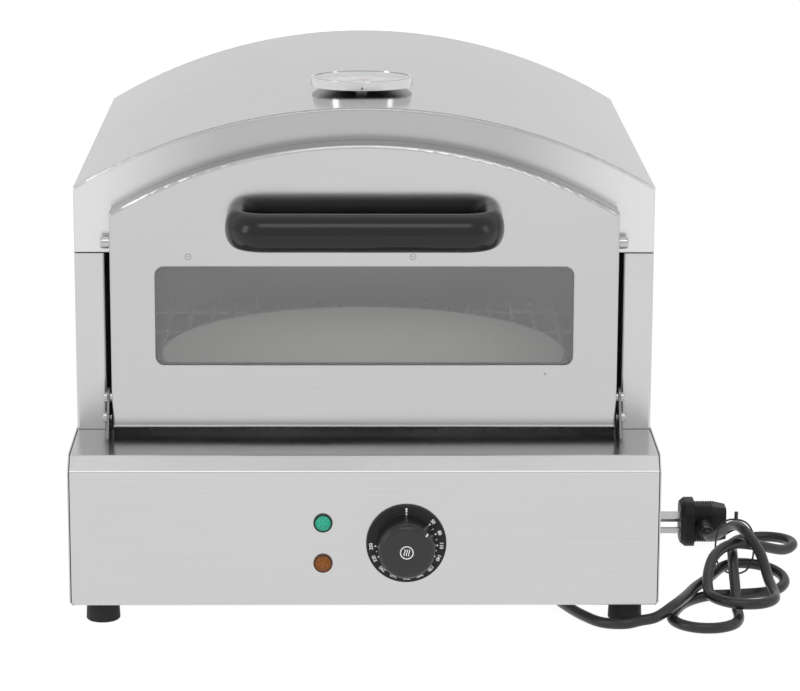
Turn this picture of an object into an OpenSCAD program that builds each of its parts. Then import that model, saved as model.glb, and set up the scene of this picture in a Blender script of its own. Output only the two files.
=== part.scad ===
// Countertop pizza oven: arched hood on a control base, drop-down door.
// Front towards -Y, floor at z = 0, origin under the middle of the oven.

/* [Oven body] */
// Width over the side walls
body_w = 470; // [440:1:520]
// Depth from the front face to the rear face
body_d = 466; // [450:1:540]
// Height of the straight sides above the shelf
side_h = 201; // [190:1:230]
// Rise of the curved roof above the straight sides
arch_rise = 65; // [50:1:80]
// Height of the hood seam above the shelf
seam_h = 148; // [140:1:160]
// Width of the pillars beside the door
pillar_w = 24.8; // [21:0.1:25]
// Depth of the folded edges behind the pillars
pillar_return = 14; // [8:1:15]
// Thickness of the sheet metal
sheet = 1; // [0.8:0.1:1.2]
// Outside radius of the folded edges
bend_r = 2; // [1.5:0.1:3]
// Gap of the seam between the side walls and the hood
seam_gap = 0.9; // [0.4:0.1:0.9]
// Length of the rims that close the hood's ends
hood_rim = 3; // [3:0.5:6]

/* [Base] */
// How far the base's side panels stand out past the body's
base_lip = 1; // [0.5:0.5:3]
// Gap between the base's front or rear panel and its side panels
side_gap = 0.8; // [0.3:0.1:0.9]
// Height of the base from its floor to the shelf
base_h = 122; // [110:1:140]
// Depth of the shelf in front of the door
shelf_d = 81; // [70:1:100]
// Size of the slanted edge between the shelf and the front panel
bevel = 11; // [8:1:14]
// Size of the slanted lower edges of the side panels
skirt = 2.6; // [2:0.1:4]
// Width of the base's folded inner edges
flange_w = 13; // [10:1:16]
// Height of the feet with their washers
foot_h = 22; // [18:1:30]
// Diameter of a foot at the floor
foot_d = 27.5; // [22:0.5:32]
// Distance of the feet from the base's sides
foot_in_x = 24; // [20:1:40]
// Distance of the feet from the front panel and the rear panel
foot_in_y = 37; // [30:1:60]
// Length of a cooling slot
slot_l = 34; // [20:1:40]
// Width of a cooling slot
slot_w = 3.2; // [2:0.1:4]
// Distance between the cooling slots
slot_pitch = 10; // [8:0.5:14]

/* [Door] */
// Width of the door
door_w = 409; // [400:1:410]
// Height of the door's lower edge above the shelf
door_lift = 6.5; // [4.5:0.5:7]
// Height of the door's straight sides above its lower edge
door_side_h = 178; // [170:1:180]
// Rise of the door's curved top
door_rise = 55.8; // [50:0.1:58]
// Depth of the door's folded edge
door_d = 26; // [24:1:30]
// Outside radius of the door's lower edge
door_low_r = 5; // [2.5:0.5:6]
// Width of the window
window_w = 337; // [300:1:345]
// Height of the window
window_h = 81.4; // [60:0.1:90]
// Height of the window's lower edge above the door's lower edge
window_up = 53.6; // [50:0.1:60]
// Corner radius of the window
window_r = 7.5; // [4:0.5:12]
// Thickness of the window glass
glass_t = 4; // [3:0.5:5]
// How far the glass passes behind the window's edge
glass_lap = 11; // [8:1:14]
// Height of the hinge pins above the shelf
pivot_up = 30.5; // [29:0.5:34]
// Distance of the hinge pins in front of the oven's face
pivot_out = 14; // [13:0.5:16]
// Diameter of the hinge pins
pivot_d = 6; // [5:0.5:7]
// Diameter of the hinge pins' heads
pin_head_d = 8.4; // [8:0.1:10]
// Thickness of the hinge plates
plate_t = 2; // [1.5:0.1:2]
// Gap between the door's side and a hinge plate
plate_gap = 2.2; // [2:0.1:2.4]
// How far a hinge plate reaches in front of the oven's face at the shelf
plate_foot = 38; // [32:1:42]
// Height of the side studs above the shelf
stud_up = 158; // [153:1:164]
// Diameter of the side studs
stud_d = 9.6; // [8:0.1:11]
// Length of the side studs
stud_l = 8.2; // [6:0.1:9]

/* [Handle] */
// Length over the handle's ends
handle_l = 224; // [190:1:240]
// Thickness of the grip
grip_d = 30.6; // [26:0.1:36]
// Width of the handle's legs
leg_w = 18; // [15:1:24]
// Height of the grip's middle above the shelf
handle_up = 177.8; // [174:0.1:184]
// Distance of the grip's middle from the door's face
handle_out = 45; // [40:1:50]

/* [Controls] */
// Distance of the knob's axis to the right of the middle
knob_x = 33.2; // [30:0.1:60]
// Height of the knob's axis above the base's lower edge
knob_up = 52.3; // [45:0.1:60]
// Diameter of the fixed dial ring
dial_d = 64; // [58:1:70]
// Thickness of the fixed dial ring
dial_t = 3; // [2:0.5:4]
// Diameter of the knob
knob_d = 47; // [40:1:52]
// How far the knob reaches in front of the front panel
knob_reach = 28; // [24:1:34]
// Diameter of the hollow in the knob's face
knob_dish = 24; // [16:1:28]
// Depth of the hollow in the knob's face
knob_hollow = 1.2; // [0.6:0.1:2]
// Distance of the pilot lamps to the left of the middle
lamp_x = 33.2; // [30:0.1:60]
// Distance between the two pilot lamps
lamp_pitch = 33.4; // [28:0.1:40]
// Diameter of a lamp's rim
lamp_d = 15.4; // [12:0.1:18]

/* [Cooking space] */
// Width inside the cavity
cavity_w = 411; // [408:1:416]
// Distance of the cavity's rear wall behind the oven's face
cavity_d = 446; // [440:1:446]
// Thickness of the insulation above the cavity
roof_gap = 27; // [24:1:30]
// Depth of the pan below the shelf
pan_deep = 44; // [40:1:50]
// Distance of the pan behind the oven's face
pan_in = 22; // [20:1:24]
// Diameter of the pizza stone
stone_d = 355; // [300:1:360]
// Thickness of the pizza stone
stone_t = 10; // [8:1:14]
// Distance of the stone's middle behind the oven's face
stone_back = 207; // [205:1:212]
// Diameter of the rack's long rods
rod_d = 4; // [3:0.5:4.5]
// Diameter of the rack's cross rods
cross_d = 5; // [4.5:0.5:6]
// Distance between the rack's long rods
rod_pitch = 20; // [18:1:26]
// Height of the rack's bent-up rear ends
rack_lip = 9; // [7:1:14]
// Diameter of the heating elements
element_d = 6.5; // [5:0.5:8]
// Bend radius of the heating elements
element_r = 22; // [18:1:24]
// Height of the upper element above the shelf
upper_element_up = 168; // [160:1:170]
// Height of the lower element above the pan's floor
lower_element_up = 17; // [14:1:18]

/* [Thermometer] */
// Diameter of the thermometer
gauge_d = 85; // [70:1:95]
// Height of the thermometer's rim
gauge_h = 8; // [7:0.5:12]
// Distance of its middle behind the oven's face
gauge_back = 109; // [100:1:240]
// Distance of its middle to the left of the oven's middle
gauge_left = 1.9; // [0:0.1:6]
// Backward lean of the thermometer in degrees
gauge_lean = 2; // [0:0.1:2.5]
// Height of the thermometer's middle above the top of the roof
gauge_lift = 2; // [1.9:0.1:3]
// Length of the thermometer's stem
stem_l = 62; // [55:1:75]
// Diameter of the thermometer's stem
stem_d = 6; // [5:0.5:7]

/* [Cord] */
// Diameter of the supply cord
cord_d = 8.8; // [7:0.1:8.9]
// Height of the cord's exit above the base's floor
cord_up = 24; // [20:1:40]
// Distance of the cord's exit to the right of the middle
cord_x = 150; // [120:1:170]
// Length of the strain relief at the base
relief_l = 26; // [20:1:40]
// Length of the strain relief at the plug
plug_relief_l = 24; // [20:1:30]
// Height of the plug's housing
plug_h = 40; // [36:1:44]
// Thickness of the plug's housing along its blades
plug_t = 40; // [36:1:44]
// Length of the plug's blades
blade_l = 18; // [16:1:20]

/* [Hidden] */

seat = 0.3;          // gap between pieces that rest against each other
running = 0.06;      // radial gap of a turning pin
hair = 0.1;          // gap between stacked parts of one assembly
slack = 1.5;         // room round a part that passes through a hole
big_arc = 360;       // facets of the wide arcs
screw_head = 2;      // height of a panel screw's head

reach_front = shelf_d + bevel + knob_reach;
reach_back = body_d + screw_head;
fascia_y = (reach_front - reach_back) / 2;
front_y = fascia_y - shelf_d - bevel;
back_y = fascia_y + body_d;

base_z = foot_h;
base_w = body_w + 2 * base_lip;
deck_z = base_z + base_h;
seam_z = deck_z + seam_h;
kink_z = deck_z + side_h;
apex_z = kink_z + arch_rise;
half_body = body_w / 2;
half_base = base_w / 2;
inner_base = half_base - sheet - side_gap;
pillar_x = half_body - pillar_w;

door_low = deck_z + door_lift;
door_kink = door_low + door_side_h;
door_apex = door_kink + door_rise;
door_front = fascia_y - door_d;
door_back = fascia_y - 0.5;
half_door = door_w / 2;
window_z = door_low + window_up;
pivot_y = fascia_y - pivot_out;
pivot_z = deck_z + pivot_up;
plate_x = half_door + plate_gap;

half_cavity = cavity_w / 2;
cavity_back = fascia_y + cavity_d;
cavity_front = fascia_y + 3;
liner_apex = apex_z - sheet - roof_gap;
liner_kink = kink_z - sheet - roof_gap;
liner_low = deck_z + sheet + 0.2;
pan_half = half_cavity - 3;
pan_front = fascia_y + pan_in;
pan_back = cavity_back - 4;
pan_z = deck_z - pan_deep;
rack_z = deck_z - sheet - 0.5 + cross_d / 2;
rod_z = rack_z + (cross_d + rod_d) / 2;
stone_z = rod_z + rod_d / 2 + hair;
element_z = deck_z + upper_element_up;

handle_z = deck_z + handle_up;
grip_y = door_front - handle_out;
leg_x = handle_l / 2 - leg_w / 2 - 1;

knob_z = base_z + knob_up;
gauge_y = fascia_y + gauge_back;
gauge_r = gauge_d / 2;
gland_y = back_y;
gland_z = base_z + cord_up;

// Radius of an arc from its half width and its rise.
function arc_r(half, rise) = (half * half + rise * rise) / (2 * rise);
function unit(v) = v / norm(v);
function left_of(v) = [-v.y, v.x];
function turn_at(p, i) =
    let (u = unit(p[i] - p[i - 1]), v = unit(p[i + 1] - p[i])) acos(max(-1, min(1, u * v)));
function setback(p, i, r) = (i == 0 || i == len(p) - 1) ? 0 : r * tan(turn_at(p, i) / 2);

// Flat shapes drawn in x and z, y and z or x and y, given a thickness.
module slab_y(y, t) translate([0, y + t, 0]) rotate([90, 0, 0]) linear_extrude(t) children();
module slab_x(x, t) translate([x, 0, 0]) rotate([90, 0, 90]) linear_extrude(t) children();
module slab_z(z, t) translate([0, 0, z]) linear_extrude(t) children();
module mirrored() { children(); mirror([1, 0, 0]) children(); }

// A folded sheet seen from its end. The path runs along the outer face and turns left.
// Its flat and round stretches may overlap by a hair, lap.
module folded(path, t, r, lap = 0) {
    for (i = [0 : len(path) - 2]) {
        u = unit(path[i + 1] - path[i]);
        start = setback(path, i, r) - lap;
        translate(path[i] + u * start) rotate(atan2(u.y, u.x))
            square([norm(path[i + 1] - path[i]) - start - setback(path, i + 1, r) + lap, t]);
    }
    for (i = [1 : len(path) - 2]) {
        u = unit(path[i] - path[i - 1]);
        v = unit(path[i + 1] - path[i]);
        a = -left_of(u);
        b = -left_of(v);
        translate(path[i] - u * setback(path, i, r) - a * r)
            intersection() {
                difference() { circle(r, $fn = 64); circle(r - t, $fn = 64); }
                polygon([[0, 0], 3 * r * a, 3 * r * unit(a + b), 3 * r * b]);
            }
    }
}

// A rectangle whose far corner is round.
module soft_corner(w, h, r) {
    difference() {
        square([w, h]);
        translate([w - r, h - r]) difference() { square(r + 1); circle(r, $fn = 64); }
    }
}

// A straight-sided outline with an arched top, drawn smaller by inset.
module arch(half, low, kink, top, inset = 0) {
    r = arc_r(half, top - kink);
    intersection() {
        translate([-half + inset, low + inset]) square([2 * (half - inset), top - low]);
        translate([0, top - r]) circle(r - inset, $fn = big_arc);
    }
}

// A solid with that outline, from y0 at its front to y1, with a round front edge.
// Its lower front edge may have a radius of its own, low_r.
module arch_block(half, low, kink, top, y0, y1, r, inset = 0, low_r = 0) {
    arc = arc_r(half, top - kink);
    soft = max(r - inset, 0.4);
    low_soft = max(max(r, low_r) - inset, 0.4);
    deep = y1 - y0 - inset;
    intersection() {
        translate([0, y1, top - arc]) rotate([90, 0, 0])
            rotate_extrude($fn = big_arc) soft_corner(arc - inset, deep, soft);
        slab_z(low - 1, top - low + 2) translate([0, y1]) mirror([0, 1])
            mirrored() soft_corner(half - inset, deep, soft);
        slab_x(-half, 2 * half) translate([y1, top + 1]) rotate(180)
            soft_corner(deep, top + 1 - low - inset, low_soft);
    }
}

module round_box(w, h, r) {
    square([w - 2 * r, h], center = true);
    square([w, h - 2 * r], center = true);
    for (x = [-1, 1], y = [-1, 1]) translate([x * (w / 2 - r), y * (h / 2 - r)]) circle(r, $fn = 48);
}

// A row of upright slots centred on its place, drawn in the sheet's plane.
module slot_row(count) {
    for (i = [0 : count - 1]) translate([(i - (count - 1) / 2) * slot_pitch, 0]) round_box(slot_w, slot_l, 1.5);
}

// A screw with a low round head, its head standing up from z = 0.
module screw(head_d, head_h, d, l) {
    rotate_extrude($fn = 48) {
        intersection() {
            square([head_d / 2, head_h]);
            translate([0, head_h - arc_r(head_d / 2, head_h)]) circle(arc_r(head_d / 2, head_h), $fn = 96);
        }
    }
    translate([0, 0, -l]) cylinder(h = l, d = d, $fn = 32);
}

// ---- base ----
front_path = [[back_y - sheet - seat, deck_z], [front_y + bevel, deck_z],
    [front_y, deck_z - bevel], [front_y, base_z], [front_y + flange_w, base_z]];

module plate_slot(extra) {
    translate([plate_x - extra, fascia_y - plate_foot - extra, deck_z - 5])
        cube([plate_t + 2 * extra, plate_foot + 8 + 2 * extra, 10]);
}

module base_front() {
    color("silver") difference() {
        slab_x(-inner_base, 2 * inner_base) folded(front_path, sheet, bend_r);
        lower_corners(front_y - 1, flange_w + 2);
        translate([-pan_half - seat, pan_front - seat, deck_z - 5])
            cube([2 * (pan_half + seat), pan_back - pan_front + 2 * seat, 10]);
        mirrored() plate_slot(seat);
        translate([knob_x, front_y - 5, knob_z]) rotate([-90, 0, 0]) cylinder(h = 10, d = 12, $fn = 48);
        for (s = [-1, 1]) translate([-lamp_x, front_y - 5, knob_z + s * lamp_pitch / 2])
            rotate([-90, 0, 0]) cylinder(h = 10, d = lamp_d - 3.4, $fn = 48);
    }
}

// Cuts the slanted lower corners that lie inside the side panels' slanted edges.
module lower_corners(y, t) {
    reach = skirt + (sheet + seat) * sqrt(2);
    mirrored() slab_y(y, t) polygon([[half_base - reach, base_z - 1], [half_base - reach, base_z],
        [inner_base, base_z + reach - sheet - side_gap], [half_base, base_z + reach - sheet - side_gap],
        [half_base, base_z - 1]]);
}

// The silhouette of the base seen from the side.
module base_outline() {
    polygon([[front_y, base_z], [front_y, deck_z - bevel], [front_y + bevel, deck_z],
        [back_y, deck_z], [back_y, base_z]]);
}

module base_side() {
    path = [[half_base - flange_w, base_z], [half_base - skirt, base_z],
        [half_base, base_z + skirt], [half_base, deck_z]];
    difference() {
        intersection() {
            slab_y(front_y, back_y - front_y) folded(path, sheet, bend_r, 0.01);
            slab_x(half_base - flange_w - 1, flange_w + 2) base_outline();
        }
        for (z = [0.36, 0.74]) slab_x(half_base - 5, 10)
            translate([fascia_y + body_d * 0.72, base_z + base_h * z]) slot_row(13);
        translate([half_base - flange_w - 1, front_y - 1, base_z - 1])
            cube([flange_w + 1 - skirt - sheet, flange_w + 1 + seat, 2 + sheet]);
    }
}
module base_side_right() color("gray") base_side();
module base_side_left() color("gray") mirror([1, 0, 0]) base_side();

floor_z = base_z + sheet + hair;
module base_floor() {
    half = half_base - skirt - 2 * sheet;
    color("silver") difference() {
        translate([-half, front_y + bend_r + seat, floor_z])
            cube([2 * half, back_y - front_y - bend_r - sheet - 2 * seat, sheet]);
        for (x = [-1, 1], y = [front_y + foot_in_y, back_y - foot_in_y])
            translate([x * (half_base - foot_in_x), y, floor_z - 1]) cylinder(h = 4, d = 5.5, $fn = 32);
        for (x = [-1, 1], y = [0.3, 0.5, 0.7]) slab_z(floor_z - 1, 4)
            translate([x * base_w / 5, fascia_y + body_d * y]) slot_row(9);
    }
}

module base_back() {
    color("silver") difference() {
        union() {
            translate([-inner_base, back_y - sheet, floor_z + sheet + hair])
                cube([2 * inner_base, sheet, deck_z - floor_z - sheet - hair]);
            translate([-inner_base, back_y - flange_w, floor_z + sheet + hair])
                cube([2 * inner_base, flange_w, sheet]);
        }
        lower_corners(back_y - flange_w - 1, flange_w + 2);
        for (x = [-0.31, 0]) slab_y(back_y - 5, 10) translate([base_w * x, base_z + base_h / 2]) slot_row(11);
        translate([cord_x, back_y - 5, gland_z]) rotate([-90, 0, 0]) cylinder(h = 10, d = gland_d + 2 * hair, $fn = 48);
    }
}

washer_t = 1.6;
module foot(x, y) {
    r = foot_d / 2;
    color("black") translate([x, y, 0]) rotate_extrude($fn = 64) difference() {
        polygon([[0, 0], [r - 1, 0], [r, 1], [r - 0.8, foot_h - washer_t - 1.4],
            [r - 2, foot_h - washer_t], [0, foot_h - washer_t]]);
        translate([-1, -1]) square([5.5, 9]);
        translate([-1, -1]) square([1 + 2.6, foot_h]);
    }
}
foot_x = half_base - foot_in_x;
module foot_front_left() foot(-foot_x, front_y + foot_in_y);
module foot_front_right() foot(foot_x, front_y + foot_in_y);
module foot_rear_left() foot(-foot_x, back_y - foot_in_y);
module foot_rear_right() foot(foot_x, back_y - foot_in_y);

module foot_fixings() {
    color("white") for (x = [-1, 1], y = [front_y + foot_in_y, back_y - foot_in_y])
        translate([x * foot_x, y, 0]) {
            difference() {
                translate([0, 0, foot_h - washer_t + hair])
                    cylinder(h = floor_z - foot_h + washer_t - 2 * hair, d = 17, $fn = 48);
                translate([0, 0, foot_h - washer_t - 1]) cylinder(h = washer_t + 4, d = 5.2, $fn = 32);
            }
            translate([0, 0, 5]) cylinder(h = 3 - seat / 2, d = 8.4, $fn = 6);
            translate([0, 0, 5]) cylinder(h = floor_z + sheet - 1, d = 5, $fn = 32);
            translate([0, 0, floor_z + sheet + hair]) cylinder(h = 3.2, d = 9, $fn = 6);
        }
}

// ---- controls ----
module at_knob() translate([knob_x, front_y, knob_z]) rotate([90, 0, 0]) children();
module dial_ring() {
    color("black") at_knob() rotate_extrude($fn = 96) difference() {
        translate([8, hair]) soft_corner(dial_d / 2 - 8, dial_t - hair, 1);
        translate([knob_d / 2 - 4, dial_t - 1]) mirror([1, 0]) square([40, 3]);
    }
}

shaft_r = 3;
shoulder = 5.2;      // radius of the knob's round shoulder
dish_r = arc_r(knob_dish / 2, knob_hollow);
// A point on the shoulder, t degrees round from the skirt to the face.
function knob_edge(t) =
    [knob_d / 2 - 1.2 - shoulder + shoulder * cos(t), knob_reach - shoulder + shoulder * sin(t)];
module control_knob() {
    r = knob_d / 2;
    color("dimgray") at_knob() difference() {
        rotate_extrude($fn = 96) difference() {
            polygon([[0, dial_t - 0.5], [r - 5, dial_t - 0.5], [r - 5, dial_t + seat], [r, dial_t + seat],
                [r, dial_t + 2], for (t = [0 : 10 : 90]) knob_edge(t), [0, knob_reach]]);
            square([shaft_r + running, knob_reach - 6]);
            translate([0, knob_reach - knob_hollow + dish_r]) circle(dish_r, $fn = big_arc);
        }
        for (i = [0 : 29]) rotate(i * 12) translate([r + 0.5, 0, dial_t + 4]) cylinder(h = knob_reach, d = 2.2, $fn = 24);
    }
}

module thermostat_shaft() {
    color("gray") at_knob() translate([0, 0, -12]) cylinder(h = 12 + knob_reach - 6 - seat, r = shaft_r, $fn = 48);
}

module thermostat() {
    color("tan") at_knob() difference() {
        union() {
            translate([0, 0, -sheet - hair - 3]) cylinder(h = 3, d = 20, $fn = 48);
            translate([-18, -21, -sheet - hair - 31]) cube([36, 42, 28]);
            for (x = [-12, 4], y = [-12, 4]) translate([x, y, -sheet - hair - 39]) cube([0.8, 6.3, 8.5]);
        }
        translate([0, 0, -14]) cylinder(h = 20, r = shaft_r + running, $fn = 48);
    }
}

// Bulb of the thermostat, clipped along the cavity's right wall.
bulb_l = 90;
bulb_d = 6;
bulb_back = 150;
bulb_up = 120;
module thermostat_bulb() {
    out = 5.5;
    color("gold") translate([half_cavity - out, fascia_y + bulb_back, deck_z + bulb_up]) {
        rotate([-90, 0, 0]) cylinder(h = bulb_l, d = bulb_d, $fn = 32);
        for (y = [bulb_l * 0.22, bulb_l * 0.73]) translate([-bulb_d / 2 - 1, y, -bulb_d / 2 - 1])
            cube([bulb_d / 2 + 1 + out - seat, 6, bulb_d + 2]);
    }
}

module lamp(z, tint) {
    color(tint) translate([-lamp_x, front_y, z]) rotate([90, 0, 0]) {
        rotate_extrude($fn = 64) difference() {
            union() {
                translate([0, hair]) soft_corner(lamp_d / 2, 2, 0.9);
                intersection() {
                    square([lamp_d / 2 - 2, 5]);
                    translate([0, 4.2 - arc_r(lamp_d / 2 - 2, 2.6)]) circle(arc_r(lamp_d / 2 - 2, 2.6), $fn = 96);
                }
            }
            translate([-1, -1]) square([lamp_d / 2 - 3, 2]);
        }
        difference() {
            translate([0, 0, -6]) cylinder(h = 6 + hair, d = lamp_d - 3.6, $fn = 48);
            translate([0, 0, -7]) cylinder(h = 9, d = lamp_d - 5.6, $fn = 48);
        }
    }
}
module green_lens() lamp(knob_z + lamp_pitch / 2, "seagreen");
module orange_lens() lamp(knob_z - lamp_pitch / 2, "darkorange");
module lamp_bodies() {
    color("black") for (s = [-1, 1]) translate([-lamp_x, front_y + 6 + hair, knob_z + s * lamp_pitch / 2])
        rotate([-90, 0, 0]) {
            cylinder(h = 22, d = lamp_d - 2, $fn = 48);
            for (x = [-3.5, 2.7]) translate([x, -2.4, 22]) cube([0.8, 4.8, 8]);
        }
}

module terminal_block() {
    color("ivory") translate([cord_x - 70, back_y - 62, floor_z + sheet]) difference() {
        union() {
            cube([44, 17, 3]);
            for (i = [0 : 2]) translate([1 + i * 14.4, 1, 3]) cube([13, 15, 14]);
        }
        for (i = [0 : 2]) translate([7.5 + i * 14.4, 0, 11]) {
            rotate([-90, 0, 0]) translate([0, 0, -1]) cylinder(h = 20, d = 4.5, $fn = 32);
            translate([0, 8.5, 0]) cylinder(h = 20, d = 4, $fn = 32);
        }
    }
}

// ---- body ----
module hood_shell() {
    color("silver") difference() {
        slab_y(fascia_y + hood_rim, body_d - 2 * hood_rim) difference() {
            arch(half_body, seam_z - 50, kink_z, apex_z);
            arch(half_body, seam_z - 60, kink_z, apex_z, sheet);
            translate([-body_w, seam_z - 100]) square([2 * body_w, 100]);
        }
        at_gauge() translate([0, 0, -40]) cylinder(h = 60, d = stem_d + 2 * slack, $fn = 48);
    }
}

// One end of the hood: a plate with a short round-edged rim.
module hood_end() {
    difference() {
        arch_block(half_body, seam_z - 50, kink_z, apex_z, fascia_y, fascia_y + hood_rim, bend_r);
        arch_block(half_body, seam_z - 60, kink_z, apex_z, fascia_y, fascia_y + hood_rim + 1, bend_r, sheet);
        translate([-body_w, fascia_y - 5, seam_z - 100]) cube([2 * body_w, 20, 100]);
    }
}

opening_inset = 7.5;
module hood_front() {
    color("silver") difference() {
        hood_end();
        slab_y(fascia_y - 5, 10) arch(half_door, seam_z - 60, door_kink, door_apex, opening_inset);
    }
}

module hood_back() {
    color("silver") difference() {
        translate([0, fascia_y + back_y, 0]) mirror([0, 1, 0]) hood_end();
        for (i = [0 : 2]) slab_y(back_y - 5, 10)
            translate([(i - 1) * 92, kink_z - 18]) rotate(90) slot_row(3);
    }
}

wall_back = back_y - sheet - hair;
module side_wall() {
    path = [[pillar_x, fascia_y + pillar_return], [pillar_x, fascia_y], [half_body, fascia_y],
        [half_body, wall_back], [half_body - 20, wall_back]];
    difference() {
        union() {
            slab_z(deck_z + seat, seam_h - seat - seam_gap) folded(path, sheet, bend_r);
            slab_y(fascia_y + pillar_return, body_d - pillar_return - 24)
                folded([[half_body - 0.2, seam_z - 16], [half_body - 0.2, seam_z - seam_gap],
                    [half_body - flange_w, seam_z - seam_gap]], sheet, bend_r);
        }
        for (z = [28, seam_h - 24]) translate([half_body - 10.5, back_y - 8, deck_z + z])
            rotate([-90, 0, 0]) cylinder(h = 20, d = 3.6, $fn = 32);
    }
}
module side_wall_right() color("silver") side_wall();
module side_wall_left() color("silver") mirror([1, 0, 0]) side_wall();

module rear_panel() {
    color("silver") difference() {
        translate([-half_body + 0.5, back_y - sheet, deck_z + seat])
            cube([body_w - 1, sheet, seam_h - seat - seam_gap]);
        for (x = [-1, 1], z = [28, seam_h - 24]) translate([x * (half_body - 10.5), back_y - 8, deck_z + z])
            rotate([-90, 0, 0]) cylinder(h = 20, d = 3.6, $fn = 32);
    }
}

module panel_screws() {
    color("gray") {
        for (x = [-1, 1], z = [28, seam_h - 24]) translate([x * (half_body - 10.5), back_y, deck_z + z])
            rotate([-90, 0, 0]) screw(7.5, screw_head, 3.4, 6);
    }
}

module insulation() {
    color("khaki") difference() {
        slab_y(fascia_y + pillar_return + 4, body_d - pillar_return - 8 - sheet) difference() {
            arch(half_body, deck_z - 60, kink_z, apex_z, sheet + seat);
            translate([-body_w, deck_z - 60]) square([2 * body_w, 62]);
        }
        slab_y(fascia_y - 5, cavity_d + 5 + seat) arch(half_cavity + sheet + seat, deck_z - 50,
            liner_kink, liner_apex + seat);
        translate([-half_body, fascia_y, seam_z - 20]) cube([flange_w + 6, body_d, 24]);
        translate([half_body - flange_w - 6, fascia_y, seam_z - 20]) cube([flange_w + 6, body_d, 24]);
        translate([-half_body, back_y - 12, deck_z]) cube([24, 12, side_h]);
        translate([half_body - 24, back_y - 12, deck_z]) cube([24, 12, side_h]);
        for (x = [-1, 1]) translate([x * element_end, cavity_back - 5, element_z])
            rotate([-90, 0, 0]) cylinder(h = 60, d = element_d + 1, $fn = 32);
        at_gauge() translate([0, 0, -80]) cylinder(h = 100, d = 24, $fn = 48);
    }
}

module cavity_liner() {
    color("lightgray") difference() {
        slab_y(cavity_front, cavity_back - cavity_front)
            arch(half_cavity + sheet, liner_low, liner_kink, liner_apex);
        slab_y(cavity_front - 5, cavity_back - cavity_front + 5 - sheet)
            arch(half_cavity + sheet, liner_low - 10, liner_kink, liner_apex, sheet);
        at_gauge() translate([0, 0, -80]) cylinder(h = 100, d = stem_d + 2 * slack + 2, $fn = 48);
        for (x = [-1, 1]) translate([x * element_end, cavity_back - 5, element_z])
            rotate([-90, 0, 0]) cylinder(h = 20, d = element_d + 1, $fn = 32);
    }
}

// A pan sunk into the shelf, hung by its rim, with a ledge that carries the rack.
ledge_w = 8;
module cavity_pan() {
    rim = half_cavity + sheet + 2;
    ledge_z = rack_z - cross_d / 2 - hair - sheet;
    color("lightgray") difference() {
        union() {
            difference() {
                union() {
                    translate([-pan_half, pan_front, pan_z])
                        cube([2 * pan_half, pan_back - pan_front, pan_deep + sheet]);
                    translate([-rim, pan_front - 5, deck_z + hair])
                        cube([2 * rim, pan_back - pan_front + 8, sheet - hair]);
                }
                translate([-pan_half + sheet, pan_front + sheet, pan_z + sheet])
                    cube([2 * (pan_half - sheet), pan_back - pan_front - 2 * sheet, pan_deep + 10]);
            }
            mirrored() translate([pan_half - ledge_w, pan_front + sheet / 2, ledge_z])
                cube([ledge_w - sheet / 2, pan_back - pan_front - sheet, sheet]);
        }
        for (x = [-1, 1]) translate([x * element_end, pan_back - 5, lower_z])
            rotate([-90, 0, 0]) cylinder(h = 20, d = element_d + 1, $fn = 32);
    }
}

// ---- heating elements ----
element_end = 60;
element_front = 62;  // from the oven's face to the front bar
element_turn = 372;  // from the oven's face to the middle of the rear bends
hanger_w = 8;
lower_z = pan_z + sheet + lower_element_up;

// A flat looped tube whose two ends leave to the rear.
module element(z, end) {
    r = element_r;
    front = fascia_y + element_front;
    turn = fascia_y + element_turn;
    outer = element_end + 4 * r;
    translate([0, 0, z]) mirrored() {
        lane(element_end, front + r, end);
        translate([element_end + r, front + r, 0]) rotate(180) bend(180);
        lane(element_end + 2 * r, front + r, turn);
        translate([element_end + 3 * r, turn, 0]) bend(180);
        lane(outer, front + 2 * r, turn);
        translate([outer - r, front + 2 * r, 0]) rotate(-90) bend(90);
    }
    translate([-(outer - r), front + r, z]) rotate([0, 90, 0]) cylinder(h = 2 * (outer - r), d = element_d, $fn = 32);
}
module lane(x, y0, y1) translate([x, y0, 0]) rotate([-90, 0, 0]) cylinder(h = y1 - y0, d = element_d, $fn = 32);
module bend(turn) rotate_extrude(angle = turn, $fn = 96) translate([element_r, 0]) circle(element_d / 2, $fn = 32);

module upper_element() color("dimgray") element(element_z, cavity_back + 12);
module lower_element() color("dimgray") element(lower_z, pan_back + 12);

// Hooks that carry the upper element under the cavity's roof.
module element_hangers() {
    x = element_end + 2 * element_r;
    low = element_z - element_d / 2 - 1.5;
    color("gray") for (s = [-1, 1], y = [element_front + 48, element_turn - 52]) difference() {
        intersection() {
            translate([s * x - 1.5 - element_d / 2, fascia_y + y - hanger_w / 2, low])
                cube([element_d + 3, hanger_w, 60]);
            slab_y(fascia_y + y - 5, 10) arch(half_cavity + sheet, low - 10, liner_kink, liner_apex, sheet + seat);
        }
        translate([s * x, fascia_y + y - 5, element_z]) rotate([-90, 0, 0])
            cylinder(h = 10, d = element_d + 2 * hair, $fn = 32);
    }
}

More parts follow.
